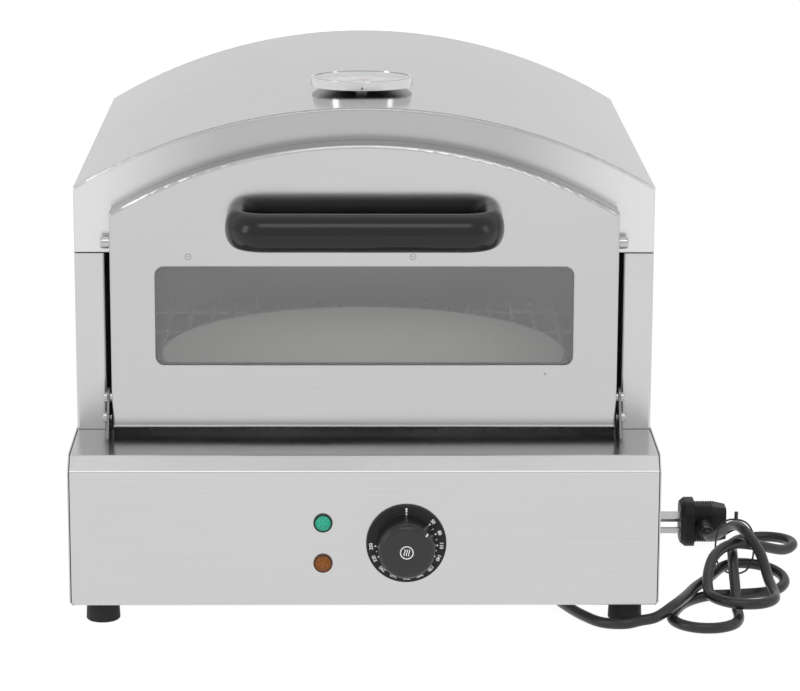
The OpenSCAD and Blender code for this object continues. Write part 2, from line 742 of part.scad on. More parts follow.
// ---- rack and stone ----
module wire_rack() {
    half_rack = pan_half - sheet - 1.5;
    count = 2 * floor((half_rack - rod_d) / rod_pitch) + 1;
    first = pan_front + 6;
    last = pan_back - 8;
    color("gray") {
        for (i = [0 : count - 1]) translate([(i - (count - 1) / 2) * rod_pitch, 0, 0]) {
            translate([0, first, rod_z]) rotate([-90, 0, 0]) cylinder(h = last - 5 - first, d = rod_d, $fn = 24);
            translate([0, last - 5, rod_z + 5]) rotate([0, 90, 0])
                rotate_extrude(angle = 90, $fn = 48) translate([5, 0]) circle(rod_d / 2, $fn = 24);
            translate([0, last, rod_z + 5]) cylinder(h = rack_lip - 5, d = rod_d, $fn = 24);
        }
        for (y = [first + 4, last - 88, last - 3 - rod_d]) translate([-half_rack, y, rack_z + 0.4])
            rotate([0, 90, 0]) cylinder(h = 2 * half_rack, d = cross_d, $fn = 24);
    }
}

module pizza_stone() {
    r = stone_d / 2;
    color("linen") translate([0, fascia_y + stone_back, stone_z]) rotate_extrude($fn = big_arc)
        polygon([[0, 0], [r - 1, 0], [r, 1], [r, stone_t - 1.5], [r - 1.5, stone_t], [0, stone_t]]);
}

// ---- door ----
door_r = bend_r + 0.5;
module door_outline(inset) arch(half_door, door_low, door_kink, door_apex, inset);

module door_outer() {
    color("silver") difference() {
        arch_block(half_door, door_low, door_kink, door_apex, door_front, door_back, door_r, 0, door_low_r);
        arch_block(half_door, door_low, door_kink, door_apex, door_front, door_back + 1, door_r, sheet, door_low_r);
        slab_y(door_front - 5, 10) translate([0, window_z + window_h / 2]) round_box(window_w, window_h, window_r);
        mirrored() {
            translate([half_door - 5, pivot_y, pivot_z]) rotate([0, 90, 0]) cylinder(h = 10, d = pivot_d + 2 * running, $fn = 48);
            translate([half_door - 5, fascia_y - 10, deck_z + stud_up]) rotate([0, 90, 0]) cylinder(h = 10, d = 5.2, $fn = 32);
            translate([leg_x, door_front - 1, handle_z]) rotate([-90, 0, 0]) cylinder(h = 5, d = 5.4, $fn = 32);
        }
    }
}

module door_inner() {
    color("lightgray") difference() {
        slab_y(door_back - 1 - sheet, sheet) door_outline(sheet + seat);
        slab_y(door_back - 10, 20) translate([0, window_z + window_h / 2]) round_box(window_w + 6, window_h + 6, window_r);
        mirrored() translate([leg_x, door_back - 10, handle_z]) rotate([-90, 0, 0]) cylinder(h = 20, d = 14, $fn = 48);
    }
}

glass_y = door_front + sheet + hair;
module door_glass() {
    color("lightblue", 0.4) slab_y(glass_y, glass_t) translate([0, window_z + window_h / 2])
        round_box(window_w + 2 * glass_lap, window_h + 2 * glass_lap, window_r);
}

// A frame of bent strip that holds the glass and reaches the inner panel.
module glass_retainer() {
    y0 = glass_y + glass_t + hair;
    y1 = door_back - 1 - sheet - hair;
    w = window_w + 6;
    h = window_h + 6;
    color("gray") difference() {
        union() {
            slab_y(y0, 1.5) translate([0, window_z + window_h / 2]) round_box(w + 20, h + 20, window_r + 4);
            slab_y(y0, y1 - y0) translate([0, window_z + window_h / 2]) round_box(w + 3, h + 3, window_r + 1.5);
        }
        slab_y(y0 - 1, y1 - y0 + 2) translate([0, window_z + window_h / 2]) round_box(w, h, window_r);
    }
}

// Bridge handle: an oval tube from leg to leg whose section grows into the grip.
elbow_r = 24;
function grip_path(t) =
    let (s = t < 0 ? -1 : 1, a = abs(t))
    a > 2 ? [s * leg_x, door_front - seat - (3 - a) * (handle_out - elbow_r - seat)]
    : a > 1 ? [s * (leg_x - elbow_r + elbow_r * sin((a - 1) * 90)), grip_y + elbow_r - elbow_r * cos((a - 1) * 90)]
    : [s * a * (leg_x - elbow_r), grip_y];
function grip_turn(t) = let (s = t < 0 ? -1 : 1, a = abs(t)) a > 2 ? s * 90 : a > 1 ? s * (a - 1) * 90 : 0;
function grip_half(t) = let (a = abs(t), k = a < 1 ? 0 : a > 2 ? 1 : (1 - cos((a - 1) * 180)) / 2)
    grip_d / 2 + (leg_w / 2 - grip_d / 2) * k;

module tube(rings) {
    n = len(rings[0]);
    m = len(rings);
    polyhedron(
        [for (ring = rings) each ring],
        [[for (i = [0 : n - 1]) i],
            for (j = [0 : m - 2], i = [0 : n - 1]) each [
                [j * n + i, (j + 1) * n + i, (j + 1) * n + (i + 1) % n],
                [j * n + i, (j + 1) * n + (i + 1) % n, j * n + (i + 1) % n]],
            [for (i = [n - 1 : -1 : 0]) (m - 1) * n + i]]);
}

grip_steps = [-3, -2.5, -2, for (i = [1 : 9]) -2 + i / 9, -0.5, 0, 0.5, for (i = [0 : 8]) 1 + i / 9, 2, 2.5, 3];
module door_handle() {
    sides = 28;
    color([0.16, 0.16, 0.17]) difference() {
        tube([for (t = grip_steps)
            let (p = grip_path(t), a = grip_turn(t), w = grip_half(t), h = grip_d / 2)
            [for (i = [0 : sides - 1])
                let (q = i * 360 / sides, v = w * cos(q))
                [p.x + v * sin(a), p.y - v * cos(a), handle_z + h * sin(q)]]]);
        mirrored() translate([leg_x, door_front - 15, handle_z]) rotate([-90, 0, 0]) cylinder(h = 20, d = 5.2, $fn = 24);
    }
}

module handle_screws() {
    color("gray") mirrored() translate([leg_x, door_front + sheet + hair, handle_z]) rotate([-90, 0, 0])
        screw(9, 3.2, 4.8, 14);
}

module door_studs() {
    color("gray") mirrored() translate([half_door, fascia_y - 10, deck_z + stud_up]) rotate([0, 90, 0]) {
        translate([0, 0, -4]) cylinder(h = 6, d = 5, $fn = 32);
        rotate_extrude($fn = 48) {
            translate([0, hair]) square([stud_d / 2 - 1.2, 2]);
            translate([0, 1.3]) soft_corner(stud_d / 2, stud_l - 1.3, 1.2);
        }
        translate([0, 0, -sheet - hair - 3]) cylinder(h = 3, d = 8, $fn = 6);
    }
}

module hinge_pins() {
    color("gray") mirrored() translate([half_door, pivot_y, pivot_z]) rotate([0, 90, 0]) {
        translate([0, 0, -sheet - hair - 3]) cylinder(h = 3, d = 10, $fn = 48);
        translate([0, 0, -sheet - hair - 1]) cylinder(h = sheet + plate_gap + plate_t + 2, d = pivot_d, $fn = 48);
        rotate_extrude($fn = 48) difference() {
            translate([0, plate_gap + plate_t + hair]) soft_corner(pin_head_d / 2, 3, 0.8);
            translate([-1, 0]) square([1, 20]);
        }
        difference() {
            translate([0, 0, hair]) cylinder(h = plate_gap - 2 * hair, d = pin_head_d, $fn = 48);
            cylinder(h = plate_gap, d = pivot_d - 1, $fn = 48);
        }
    }
}

module hinge_plate() {
    tip = 8;
    low = deck_z - 16;
    difference() {
        union() {
            slab_x(plate_x, plate_t) {
                translate([pivot_y, pivot_z]) circle(tip, $fn = 64);
                polygon([[pivot_y - tip, pivot_z], [fascia_y - plate_foot, deck_z + 2], [fascia_y - plate_foot, low],
                    [fascia_y + 8, low], [fascia_y + 8, deck_z - sheet - seat], [fascia_y + 1, deck_z - sheet - seat],
                    [fascia_y + 1, deck_z + 4], [pivot_y + tip, pivot_z]]);
            }
            translate([plate_x - 12, fascia_y - plate_foot, low]) cube([12.5, plate_foot + 8, plate_t]);
        }
        translate([plate_x - 1, pivot_y, pivot_z]) rotate([0, 90, 0]) cylinder(h = 5, d = pivot_d + 2 * running, $fn = 48);
        translate([plate_x - 1, pivot_y, rivet_z]) rotate([0, 90, 0]) cylinder(h = 5, d = rivet_d + 2 * hair, $fn = 32);
    }
}
rivet_z = pivot_z - 16.6;
rivet_d = 4;
module hinge_plate_right() color("gray") hinge_plate();
module hinge_plate_left() color("gray") mirror([1, 0, 0]) hinge_plate();
module hinge_rivets() {
    color("silver") mirrored() translate([plate_x, pivot_y, rivet_z]) rotate([0, 90, 0]) {
        translate([0, 0, -1]) cylinder(h = plate_t + 3, d = rivet_d, $fn = 32);
        rotate_extrude($fn = 48) translate([0, plate_t + hair]) soft_corner(pin_head_d / 2, 4, 0.8);
        translate([0, 0, -1.2]) cylinder(h = 1.1, d = rivet_d + 2, $fn = 32);
    }
}

// ---- thermometer ----
module at_gauge() translate([-gauge_left, gauge_y, apex_z + gauge_lift]) rotate([-gauge_lean, 0, 0]) children();

rim_w = 3.2;
module gauge_case() {
    color("silver") at_gauge() difference() {
        rotate_extrude($fn = 128) difference() {
            soft_corner(gauge_r, gauge_h, 0.8);
            translate([-1, 1]) square([1 + gauge_r - rim_w + 1.6, gauge_h - 1.6]);
            translate([-1, 1]) square([1 + gauge_r - rim_w, gauge_h + 5]);
        }
        translate([0, 0, -1]) cylinder(h = 4, d = stem_d + 2 * hair, $fn = 48);
        translate([0, -gauge_r - 1, gauge_h * 0.27]) rotate([-90, 0, 0]) cylinder(h = 4, d = 2, $fn = 32);
    }
}
module gauge_glass() {
    color("lightblue", 0.4) at_gauge() translate([0, 0, gauge_h - 2]) cylinder(h = 1.4, r = gauge_r - rim_w + 1.3, $fn = 96);
}
module gauge_dial() {
    color("white") at_gauge() difference() {
        translate([0, 0, 1.6]) cylinder(h = 0.8, r = gauge_r - rim_w, $fn = 96);
        translate([0, 0, 1]) cylinder(h = 2, d = 2 + 2 * hair, $fn = 32);
    }
}
// The pointer stands at its rest mark, towards the lower left.
module gauge_pointer() {
    color("firebrick") at_gauge() {
        translate([0, 0, 1.1]) cylinder(h = 3, d = 2, $fn = 32);
        translate([0, 0, 3]) cylinder(h = 0.7, d = 7, $fn = 48);
        rotate(225) slab_z(3, 0.7) polygon([[-9, -1.6], [-9, 1.6], [gauge_r - 12, 0.5], [gauge_r - 12, -0.5]]);
    }
}
module gauge_stem() {
    color("gray") at_gauge() {
        translate([0, 0, -stem_l]) cylinder(h = stem_l + 1, d = stem_d, $fn = 48);
        translate([0, 0, -gauge_lift + seat]) cylinder(h = gauge_lift - seat - hair, d = 11, $fn = 48);
    }
}
module gauge_nut() {
    color("gray") at_gauge() difference() {
        translate([0, 0, -gauge_lift - sheet - seat - 5]) cylinder(h = 5, d = 13, $fn = 6);
        translate([0, 0, -30]) cylinder(h = 60, d = stem_d + 2 * hair, $fn = 48);
    }
}

// ---- cord and plug ----
gland_d = cord_d + 6.2;
cord_half = cord_d / 2;
lay = fascia_y;
function ring_arc(x, y, from, to, low, high, count) = [for (i = [0 : count])
    let (t = i / count, a = from + (to - from) * t)
    [x + 27 * cos(a), y + 27 * sin(a), low + (high - low) * t * t * (3 - 2 * t)]];

// Route of the cord, measured from the oven's face: out at the rear, under the base, to the front right.
free_route = [[150, 492, 46], [150, 504, 46], [146, 526, 41], [130, 543, 28], [108, 548, 16], [88, 538, 8],
    [77, 514, 4.9], [75, 470, 4.9], [82, 400, 4.9], [95, 280, 4.9], [115, 150, 4.9], [142, 40, 4.9],
    [162, -30, 4.9], [178, -66, 4.9], [192, -84, 4.9], [210, -93, 6.9], [222, -90, 8.5]];
// Its put-away length: four loops laid over each other, each a long arc with a crossing after it.
hank_route = concat(
    [[222, -90, 8.5], [234, -87, 10.1], [250, -71, 14.8], [262, -48, 15.2], [273, -22, 15], [286, 2, 15]],
    ring_arc(326, 22, 147, -80, 15, 4.9, 7),
    [[306, -10, 4.9], [284, -14, 4.9], [264, -32, 4.9]],
    ring_arc(276, -72, 155, 352, 4.9, 4.9, 6),
    [[304, -50, 7], [306, -20, 15.5], [308, 12, 22], [311, 46, 24.6], [313, 75, 20]],
    ring_arc(342, 92, 165, -52, 15, 19, 6),
    [[332, 50, 29], [310, 36, 34.5], [293, 14, 32], [284, -14, 24]],
    ring_arc(309, -44, 175, 365, 17, 15, 6),
    [[334, -16, 20], [330, 12, 34], [320, 42, 44.6], [315, 66, 42], [307, 86, 31], [299, 103, 21], [297, 114, 20]]);

// A smooth curve through points. Its knots are spaced by the square root of their distance.
function smooth(p, steps, before, after) =
    let (q = concat([before], p, [after]))
    concat([for (i = [1 : len(q) - 3], k = [0 : steps - 1])
        let (a = q[i - 1], b = q[i], c = q[i + 1], d = q[i + 2],
            ta = sqrt(norm(b - a)), tb = ta + sqrt(norm(c - b)), tc = tb + sqrt(norm(d - c)),
            t = ta + (tb - ta) * k / steps,
            ab = ((ta - t) * a + t * b) / ta,
            bc = ((tb - t) * b + (t - ta) * c) / (tb - ta),
            cd = ((tc - t) * c + (t - tb) * d) / (tc - tb),
            abc = ((tb - t) * ab + t * bc) / tb,
            bcd = ((tc - t) * bc + (t - ta) * cd) / (tc - ta))
        ((tb - t) * abc + (t - ta) * bcd) / (tb - ta)], [p[len(p) - 1]]);

// Rings square to a line, for tube(). first and last are the directions at its ends.
function rings(line, r, sides, first, last) = [for (i = [0 : len(line) - 1])
    let (n = len(line) - 1, u = i == 0 ? unit(first) : i == n ? unit(last) : unit(line[i + 1] - line[i - 1]),
        side = unit(cross(u, [0, 0, 1])), up = cross(side, u))
    [for (k = [0 : sides - 1]) let (a = 360 * (k + 0.5) / sides) line[i] + r * (cos(a) * side + sin(a) * up)]];

join_way = [12, 3, 1.6];
plug_way = [0, 1, 0];
function last_of(p) = p[len(p) - 1];
free_line = smooth(free_route, 3, [150, 480, 46], hank_route[1]);
hank_line = smooth(hank_route, 2, free_route[len(free_route) - 2], last_of(hank_route) + 11 * unit(plug_way));

module power_cord() {
    color("dimgray") translate([0, lay, 0]) tube(rings(free_line, cord_half, 8, [0, 1, 0], join_way));
}

// Least distance between stretches of the line that lie over 40 mm of cord apart, less its diameter.
function least_gap(line) =
    let (far = [for (i = [0 : len(line) - 1]) each [for (j = [i + 9 : 1 : len(line) - 1]) norm(line[i] - line[j])]])
    min(far) - cord_d;
module cord_hank() {
    fine = smooth(hank_route, 10, free_route[len(free_route) - 2], last_of(hank_route) + 11 * unit(plug_way));
    near = [for (i = [0 : 2 : len(fine) - 1]) fine[i]];
    echo(least_gap_of_hank = least_gap(near));
    color("dimgray") translate([0, lay, 0]) tube(rings(hank_line, cord_half, 6, join_way, plug_way));
}

// A wire tied loosely round the loops: a rounded upright ring with a twisted end.
tie_d = 1.6;
tie_w = 32.8;
tie_h = 46.2;
function tie_wave(v) = sign(v) * pow(abs(v), 0.8);
module cord_tie() {
    count = 32;
    sides = 6;
    line = [for (i = [0 : count - 1]) let (a = 360 * i / count) [tie_w / 2 * tie_wave(cos(a)), tie_h / 2 * tie_wave(sin(a))]];
    points = [for (i = [0 : count - 1])
        let (u = unit(line[(i + 1) % count] - line[(i + count - 1) % count]), n = left_of(u))
        each [for (k = [0 : sides - 1]) let (a = 360 * k / sides, w = tie_d / 2 * cos(a))
            [line[i].x + w * n.x, tie_d / 2 * sin(a), line[i].y + w * n.y]]];
    color("black") translate([312.5, 42.6 + lay, 30.4]) rotate([0, 0, -17.4]) rotate([-6.9, 0, 0]) {
        polyhedron(points, [for (i = [0 : count - 1], k = [0 : sides - 1])
            let (j = (i + 1) % count, m = (k + 1) % sides) each [
                [i * sides + k, i * sides + m, j * sides + m], [i * sides + k, j * sides + m, j * sides + k]]]);
        translate([0, 0, tie_h / 2 - tie_d / 4]) cylinder(h = 7, d = 2 * tie_d, $fn = 24);
    }
}

module cord_gland() {
    color("black") translate([cord_x, gland_y, gland_z]) rotate([-90, 0, 0]) difference() {
        union() {
            translate([0, 0, hair]) rotate_extrude($fn = 64) soft_corner(gland_d / 2 + 3, 3, 1);
            translate([0, 0, -sheet - 7]) cylinder(h = sheet + 8, d = gland_d, $fn = 64);
            translate([0, 0, -sheet - hair - 3]) cylinder(h = 3, d = gland_d + 5, $fn = 6);
            rotate_extrude($fn = 64) polygon([[0, 2], [gland_d / 2, 2], [gland_d / 2, 5],
                [cord_half + 1.4, relief_l], [0, relief_l]]);
        }
        for (z = [7 : 3.4 : relief_l - 4], a = [0, 180]) rotate(a + 90 * ((z - 7) / 3.4 % 2))
            translate([cord_half + 0.8, -10, z]) cube([10, 20, 1.6]);
    }
}

// The plug stands on its side: local x is the cord's way out, its blades point along -y.
plug_neck = 15;      // half width of the plug where the cord leaves it
plug_z = plug_h / 2;
module at_plug() translate(last_of(hank_route) + [0, lay + plug_relief_l + plug_neck, -last_of(hank_route).z])
    rotate(-90) children();

// A flat rounded outline with the given half width and half height, along the plug's x and z.
module plug_slice(y, t, w, h, r) {
    slab_y(y, t) hull() for (x = [-1, 1], z = [-1, 1])
        translate([x * (w - r), plug_z + z * (h - r)]) circle(r, $fn = 20);
}

module plug_body() {
    front = -plug_t / 2;
    head = 12;
    tail = 12;
    color("dimgray") at_plug() {
        hull() {
            plug_slice(front, 1, 15, plug_h / 2 - 3, 9);
            plug_slice(front + 4, head - 4, 18, plug_h / 2, 11);
        }
        for (y = [front + head : 2 : -front - tail - 0.5]) {
            plug_slice(y - 0.01, 1.1, plug_neck - 0.8, plug_h / 2 - 4.6, 9);
            plug_slice(y + 1, 1.1, plug_neck, plug_h / 2 - 3.4, 9);
        }
        hull() {
            plug_slice(-front - tail, 2, plug_neck - 0.4, plug_h / 2 - 4, 7);
            plug_slice(-front - 1, 1, 11, plug_h / 2 - 6, 4);
        }
    }
}
module plug_blades() {
    color("silver") at_plug() translate([0, -plug_t / 2 - blade_l, plug_z]) {
        for (s = [-1, 1]) translate([4, 0, s * 6.9]) rotate([0, s * 60, 0])
            translate([-3.2, 0, -0.8]) cube([6.4, blade_l - seat / 3, 1.6]);
        translate([-10 - 0.8, 0, -3.2]) cube([1.6, blade_l - seat / 3, 6.4]);
    }
}
module plug_relief() {
    start = plug_neck + hair;
    color("black") at_plug() translate([start, 0, plug_z]) rotate([0, 90, 0]) difference() {
        rotate_extrude($fn = 64) polygon([[0, 0], [cord_half + 3.4, 0], [cord_half + 1.2, plug_relief_l - hair],
            [0, plug_relief_l - hair]]);
        for (z = [3 : 3.2 : plug_relief_l - 4], a = [0, 180]) rotate(a + 90 * ((z - 3) / 3.2 % 2))
            translate([cord_half + 0.6, -10, z]) cube([10, 20, 1.5]);
    }
}

base_front();
base_side_left();
base_side_right();
base_floor();
base_back();
foot_front_left();
foot_front_right();
foot_rear_left();
foot_rear_right();
foot_fixings();
dial_ring();
control_knob();
thermostat();
thermostat_shaft();
thermostat_bulb();
green_lens();
orange_lens();
lamp_bodies();
terminal_block();
hood_shell();
hood_front();
hood_back();
side_wall_left();
side_wall_right();
rear_panel();
panel_screws();
insulation();
cavity_liner();
cavity_pan();
upper_element();
lower_element();
element_hangers();
wire_rack();
pizza_stone();
door_outer();
door_inner();
door_glass();
glass_retainer();
door_handle();
handle_screws();
door_studs();
hinge_pins();
hinge_plate_left();
hinge_plate_right();
hinge_rivets();
gauge_case();
gauge_glass();
gauge_dial();
gauge_pointer();
gauge_stem();
gauge_nut();
cord_gland();
power_cord();
cord_hank();
cord_tie();
plug_body();
plug_blades();
plug_relief();
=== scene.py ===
import math

import bpy
import numpy as np
from mathutils import Matrix, Vector


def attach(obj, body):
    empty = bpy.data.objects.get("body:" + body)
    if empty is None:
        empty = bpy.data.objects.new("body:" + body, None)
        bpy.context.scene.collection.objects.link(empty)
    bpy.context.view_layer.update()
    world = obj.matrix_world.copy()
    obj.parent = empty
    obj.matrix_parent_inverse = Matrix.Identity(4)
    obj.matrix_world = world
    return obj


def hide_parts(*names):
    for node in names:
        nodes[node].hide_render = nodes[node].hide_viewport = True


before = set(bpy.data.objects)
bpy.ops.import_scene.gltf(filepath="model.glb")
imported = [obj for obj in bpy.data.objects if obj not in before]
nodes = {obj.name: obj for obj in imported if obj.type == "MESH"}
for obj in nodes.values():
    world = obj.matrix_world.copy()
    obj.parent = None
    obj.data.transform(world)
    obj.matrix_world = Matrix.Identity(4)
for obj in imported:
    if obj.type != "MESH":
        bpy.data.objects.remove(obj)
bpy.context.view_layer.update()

print("frame loaded:", len(nodes), "nodes")

camera = {
    "place": (-0.01135, -2.72165, 0.8153),
    "lens": 144.45,
    "sensor": 36.0,
    "down": 13.269,  # degrees below the horizon
    "turn": 0.909,  # degrees towards +X
    "roll": -0.2164,
    "clip": (0.05, 60),
}


def addCamera(c):
    down, turn, roll = (math.radians(c[k]) for k in ("down", "turn", "roll"))
    look = Vector((math.sin(turn) * math.cos(down), math.cos(turn) * math.cos(down), -math.sin(down)))
    level = Vector((math.cos(turn), -math.sin(turn), 0))
    drop = look.cross(level)
    right = math.cos(roll) * level + math.sin(roll) * drop
    below = math.cos(roll) * drop - math.sin(roll) * level
    lens = bpy.data.cameras.new("studioCamera")
    lens.lens, lens.sensor_width = c["lens"], c["sensor"]
    lens.clip_start, lens.clip_end = c["clip"]
    holder = bpy.data.objects.new("studioCamera", lens)
    turned = Matrix((right, -below, -look)).transposed().to_4x4()
    holder.matrix_world = Matrix.Translation(c["place"]) @ turned
    bpy.context.scene.collection.objects.link(holder)
    bpy.context.scene.camera = holder


addCamera(camera)


def gridFaces(rows, columns):
    # Quads of a grid whose columns close round on themselves.
    i = np.arange(rows - 1)[:, None]
    j = np.arange(columns)[None, :]
    k = (j + 1) % columns
    corners = [i * columns + j, (i + 1) * columns + j, (i + 1) * columns + k, i * columns + k]
    return np.stack(np.broadcast_arrays(*corners), -1).reshape(-1, 4)


def addPiece(name, points, faces, body, slot, smooth=True):
    mesh = bpy.data.meshes.new(name)
    mesh.from_pydata(np.asarray(points).tolist(), [], [list(map(int, f)) for f in faces])
    mesh.polygons.foreach_set("use_smooth", [smooth] * len(mesh.polygons))
    mesh.update()
    piece = bpy.data.objects.new(name, mesh)
    bpy.context.scene.collection.objects.link(piece)
    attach(piece, body)
    return piece


def tubeAlong(line, radius, sides):
    # Ring points are the line's point plus radius times (cos a across + sin a up),
    # where across is the run's direction crossed with the vertical.
    run = np.gradient(line, axis=0)
    run /= np.linalg.norm(run, axis=1)[:, None]
    across = np.cross(run, [0.0, 0.0, 1.0])
    across /= np.linalg.norm(across, axis=1)[:, None]
    up = np.cross(across, run)
    turn = np.linspace(0, 2 * np.pi, sides, endpoint=False)[None, :, None]
    rings = line[:, None] + radius * (np.cos(turn) * across[:, None] + np.sin(turn) * up[:, None])
    last = (len(line) - 1) * sides
    ends = [list(range(sides)), list(range(last + sides - 1, last - 1, -1))]
    return rings.reshape(-1, 3), [*gridFaces(len(line), sides), *ends]


cord = {
    "lay": -0.174,  # the route is measured from the oven's face
    "diameter": 0.0088,
    "length": 1.94,
    "turn": 0.027,
    "steps": 6,
    "sides": 24,
    "exit": (0.150, 0.318, 0.046),
    "draw": 0.0008,  # how far the outer turns are drawn in, to lie within the solid route
    "drawFrom": (0.330, 0.505),
    "drawOver": 0.035,
}


def ringArc(x, y, start, end, low, high, count):
    # Points on a round turn: height goes from low to high along t * t * (3 - 2t).
    t = np.linspace(0, 1, count + 1)
    a = np.radians(start + (end - start) * t)
    rise = low + (high - low) * t * t * (3 - 2 * t)
    return np.stack([x + cord["turn"] * np.cos(a), y + cord["turn"] * np.sin(a), rise], 1)


def smoothLine(p, steps):
    # Centripetal curve through the points: knots lie apart by the root of the distance,
    # and each stretch blends straight lines through four neighbouring points.
    q = np.vstack([2 * p[0] - p[1], p, 2 * p[-1] - p[-2]])
    gap = np.sqrt(np.linalg.norm(np.diff(q, axis=0), axis=1))
    a, b, c, d = q[:-3, None], q[1:-2, None], q[2:-1, None], q[3:, None]
    t1 = gap[:-2, None, None]
    t2 = t1 + gap[1:-1, None, None]
    t3 = t2 + gap[2:, None, None]
    t = t1 + (t2 - t1) * (np.arange(steps) / steps)[None, :, None]
    ab = a * (t1 - t) / t1 + b * t / t1
    bc = b * (t2 - t) / (t2 - t1) + c * (t - t1) / (t2 - t1)
    cd = c * (t3 - t) / (t3 - t2) + d * (t - t2) / (t3 - t2)
    abc = ab * (t2 - t) / t2 + bc * t / t2
    bcd = bc * (t3 - t) / (t3 - t1) + cd * (t - t1) / (t3 - t1)
    return np.vstack([(abc * (t2 - t) / (t2 - t1) + bcd * (t - t1) / (t2 - t1)).reshape(-1, 3), p[-1:]])


cordPoints = np.vstack([
    [(0.150, 0.492, 0.046), (0.150, 0.504, 0.046), (0.146, 0.526, 0.041), (0.130, 0.543, 0.028),
     (0.108, 0.548, 0.016), (0.088, 0.538, 0.008), (0.077, 0.514, 0.0049), (0.075, 0.470, 0.0049),
     (0.082, 0.400, 0.0049), (0.095, 0.280, 0.0049), (0.115, 0.150, 0.0049), (0.142, 0.040, 0.0049),
     (0.162, -0.030, 0.0049), (0.178, -0.066, 0.0049), (0.192, -0.084, 0.0049), (0.210, -0.093, 0.0069),
     (0.222, -0.090, 0.0085), (0.234, -0.087, 0.0101), (0.250, -0.071, 0.0148), (0.262, -0.048, 0.0152),
     (0.273, -0.022, 0.015), (0.286, 0.002, 0.015)],
    ringArc(0.326, 0.022, 147, -80, 0.015, 0.0049, 7),
    [(0.306, -0.010, 0.0049), (0.284, -0.014, 0.0049), (0.264, -0.032, 0.0049)],
    ringArc(0.276, -0.072, 155, 352, 0.0049, 0.0049, 6),
    [(0.304, -0.050, 0.007), (0.306, -0.020, 0.0155), (0.308, 0.012, 0.022), (0.311, 0.046, 0.0246),
     (0.313, 0.075, 0.020)],
    ringArc(0.342, 0.092, 165, -52, 0.015, 0.019, 6),
    [(0.332, 0.050, 0.029), (0.310, 0.036, 0.0345), (0.293, 0.014, 0.032), (0.284, -0.014, 0.024)],
    ringArc(0.309, -0.044, 175, 365, 0.017, 0.015, 6),
    [(0.334, -0.016, 0.020), (0.330, 0.012, 0.034), (0.320, 0.042, 0.0446), (0.315, 0.066, 0.042),
     (0.307, 0.086, 0.031), (0.299, 0.103, 0.021), (0.297, 0.114, 0.020)],
])
cordLine = smoothLine(cordPoints, cord["steps"])
for axis, start in enumerate(cord["drawFrom"]):
    t = np.clip((cordLine[:, axis] - start) / cord["drawOver"], 0, 1)
    cordLine[:, axis] -= cord["draw"] * t * t * (3 - 2 * t)
cordLine += [0, cord["lay"], 0]
cordTube = tubeAlong(cordLine, cord["diameter"] / 2, cord["sides"])
cordSheath = addPiece("cordSheath", *cordTube, "oven", "cord_pvc")
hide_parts("power_cord", "cord_hank")
print("cord laid, metres:", round(float(np.linalg.norm(np.diff(cordLine, axis=0), axis=1).sum()), 4))

handle = {
    "legAt": 0.102,  # half the distance between the legs' middles
    "level": 0.3218,
    "door": -0.2003,
    "front": -0.245,
    "elbow": 0.024,
    "halfHeight": 0.0153,
    "halfLeg": 0.009,
    "sides": 64,
    "bendSteps": 22,
    "gripRows": [0, 0.35, 0.7, 0.95],
    "legRows": [2.15, 2.5, 2.8, 2.96, 3],
}


def handleBar(h):
    # Runs along t from -3 to 3: legs beyond 2, round elbows from 1 to 2, the grip within 1.
    # A ring at t is p plus (w cos q across, halfHeight sin q up), and w shrinks through the
    # elbows from the grip's half height to the leg's half width along (1 - cos) / 2.
    bend = np.linspace(1, 2, h["bendSteps"])
    half = np.concatenate([h["gripRows"], bend, h["legRows"]])
    t = np.concatenate([-half[:0:-1], half])
    s, a = np.where(t < 0, -1.0, 1.0), np.abs(t)
    turn = np.clip(a - 1, 0, 1) * np.pi / 2
    straight = h["legAt"] - h["elbow"]
    x = s * (np.minimum(a, 1) * straight + h["elbow"] * np.sin(turn))
    y = h["front"] + h["elbow"] * (1 - np.cos(turn))
    y += np.clip(a - 2, 0, 1) * (h["door"] - h["front"] - h["elbow"])
    w = h["halfHeight"] + (h["halfLeg"] - h["halfHeight"]) * (1 - np.cos(np.clip(a - 1, 0, 1) * np.pi)) / 2
    q = np.linspace(0, 2 * np.pi, h["sides"], endpoint=False)
    v = w[:, None] * np.cos(q)
    lean = (s * turn)[:, None]
    points = np.stack([x[:, None] + v * np.sin(lean), y[:, None] - v * np.cos(lean),
                       np.broadcast_to(h["level"] + h["halfHeight"] * np.sin(q), v.shape)], -1).reshape(-1, 3)
    last = (len(t) - 1) * h["sides"]
    ends = [list(range(h["sides"] - 1, -1, -1)), list(range(last, last + h["sides"]))]
    return points, [*gridFaces(len(t), h["sides"])[:, ::-1], *ends]


doorGrip = addPiece("doorGrip", *handleBar(handle), "door", "handle_black")
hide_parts("door_handle")

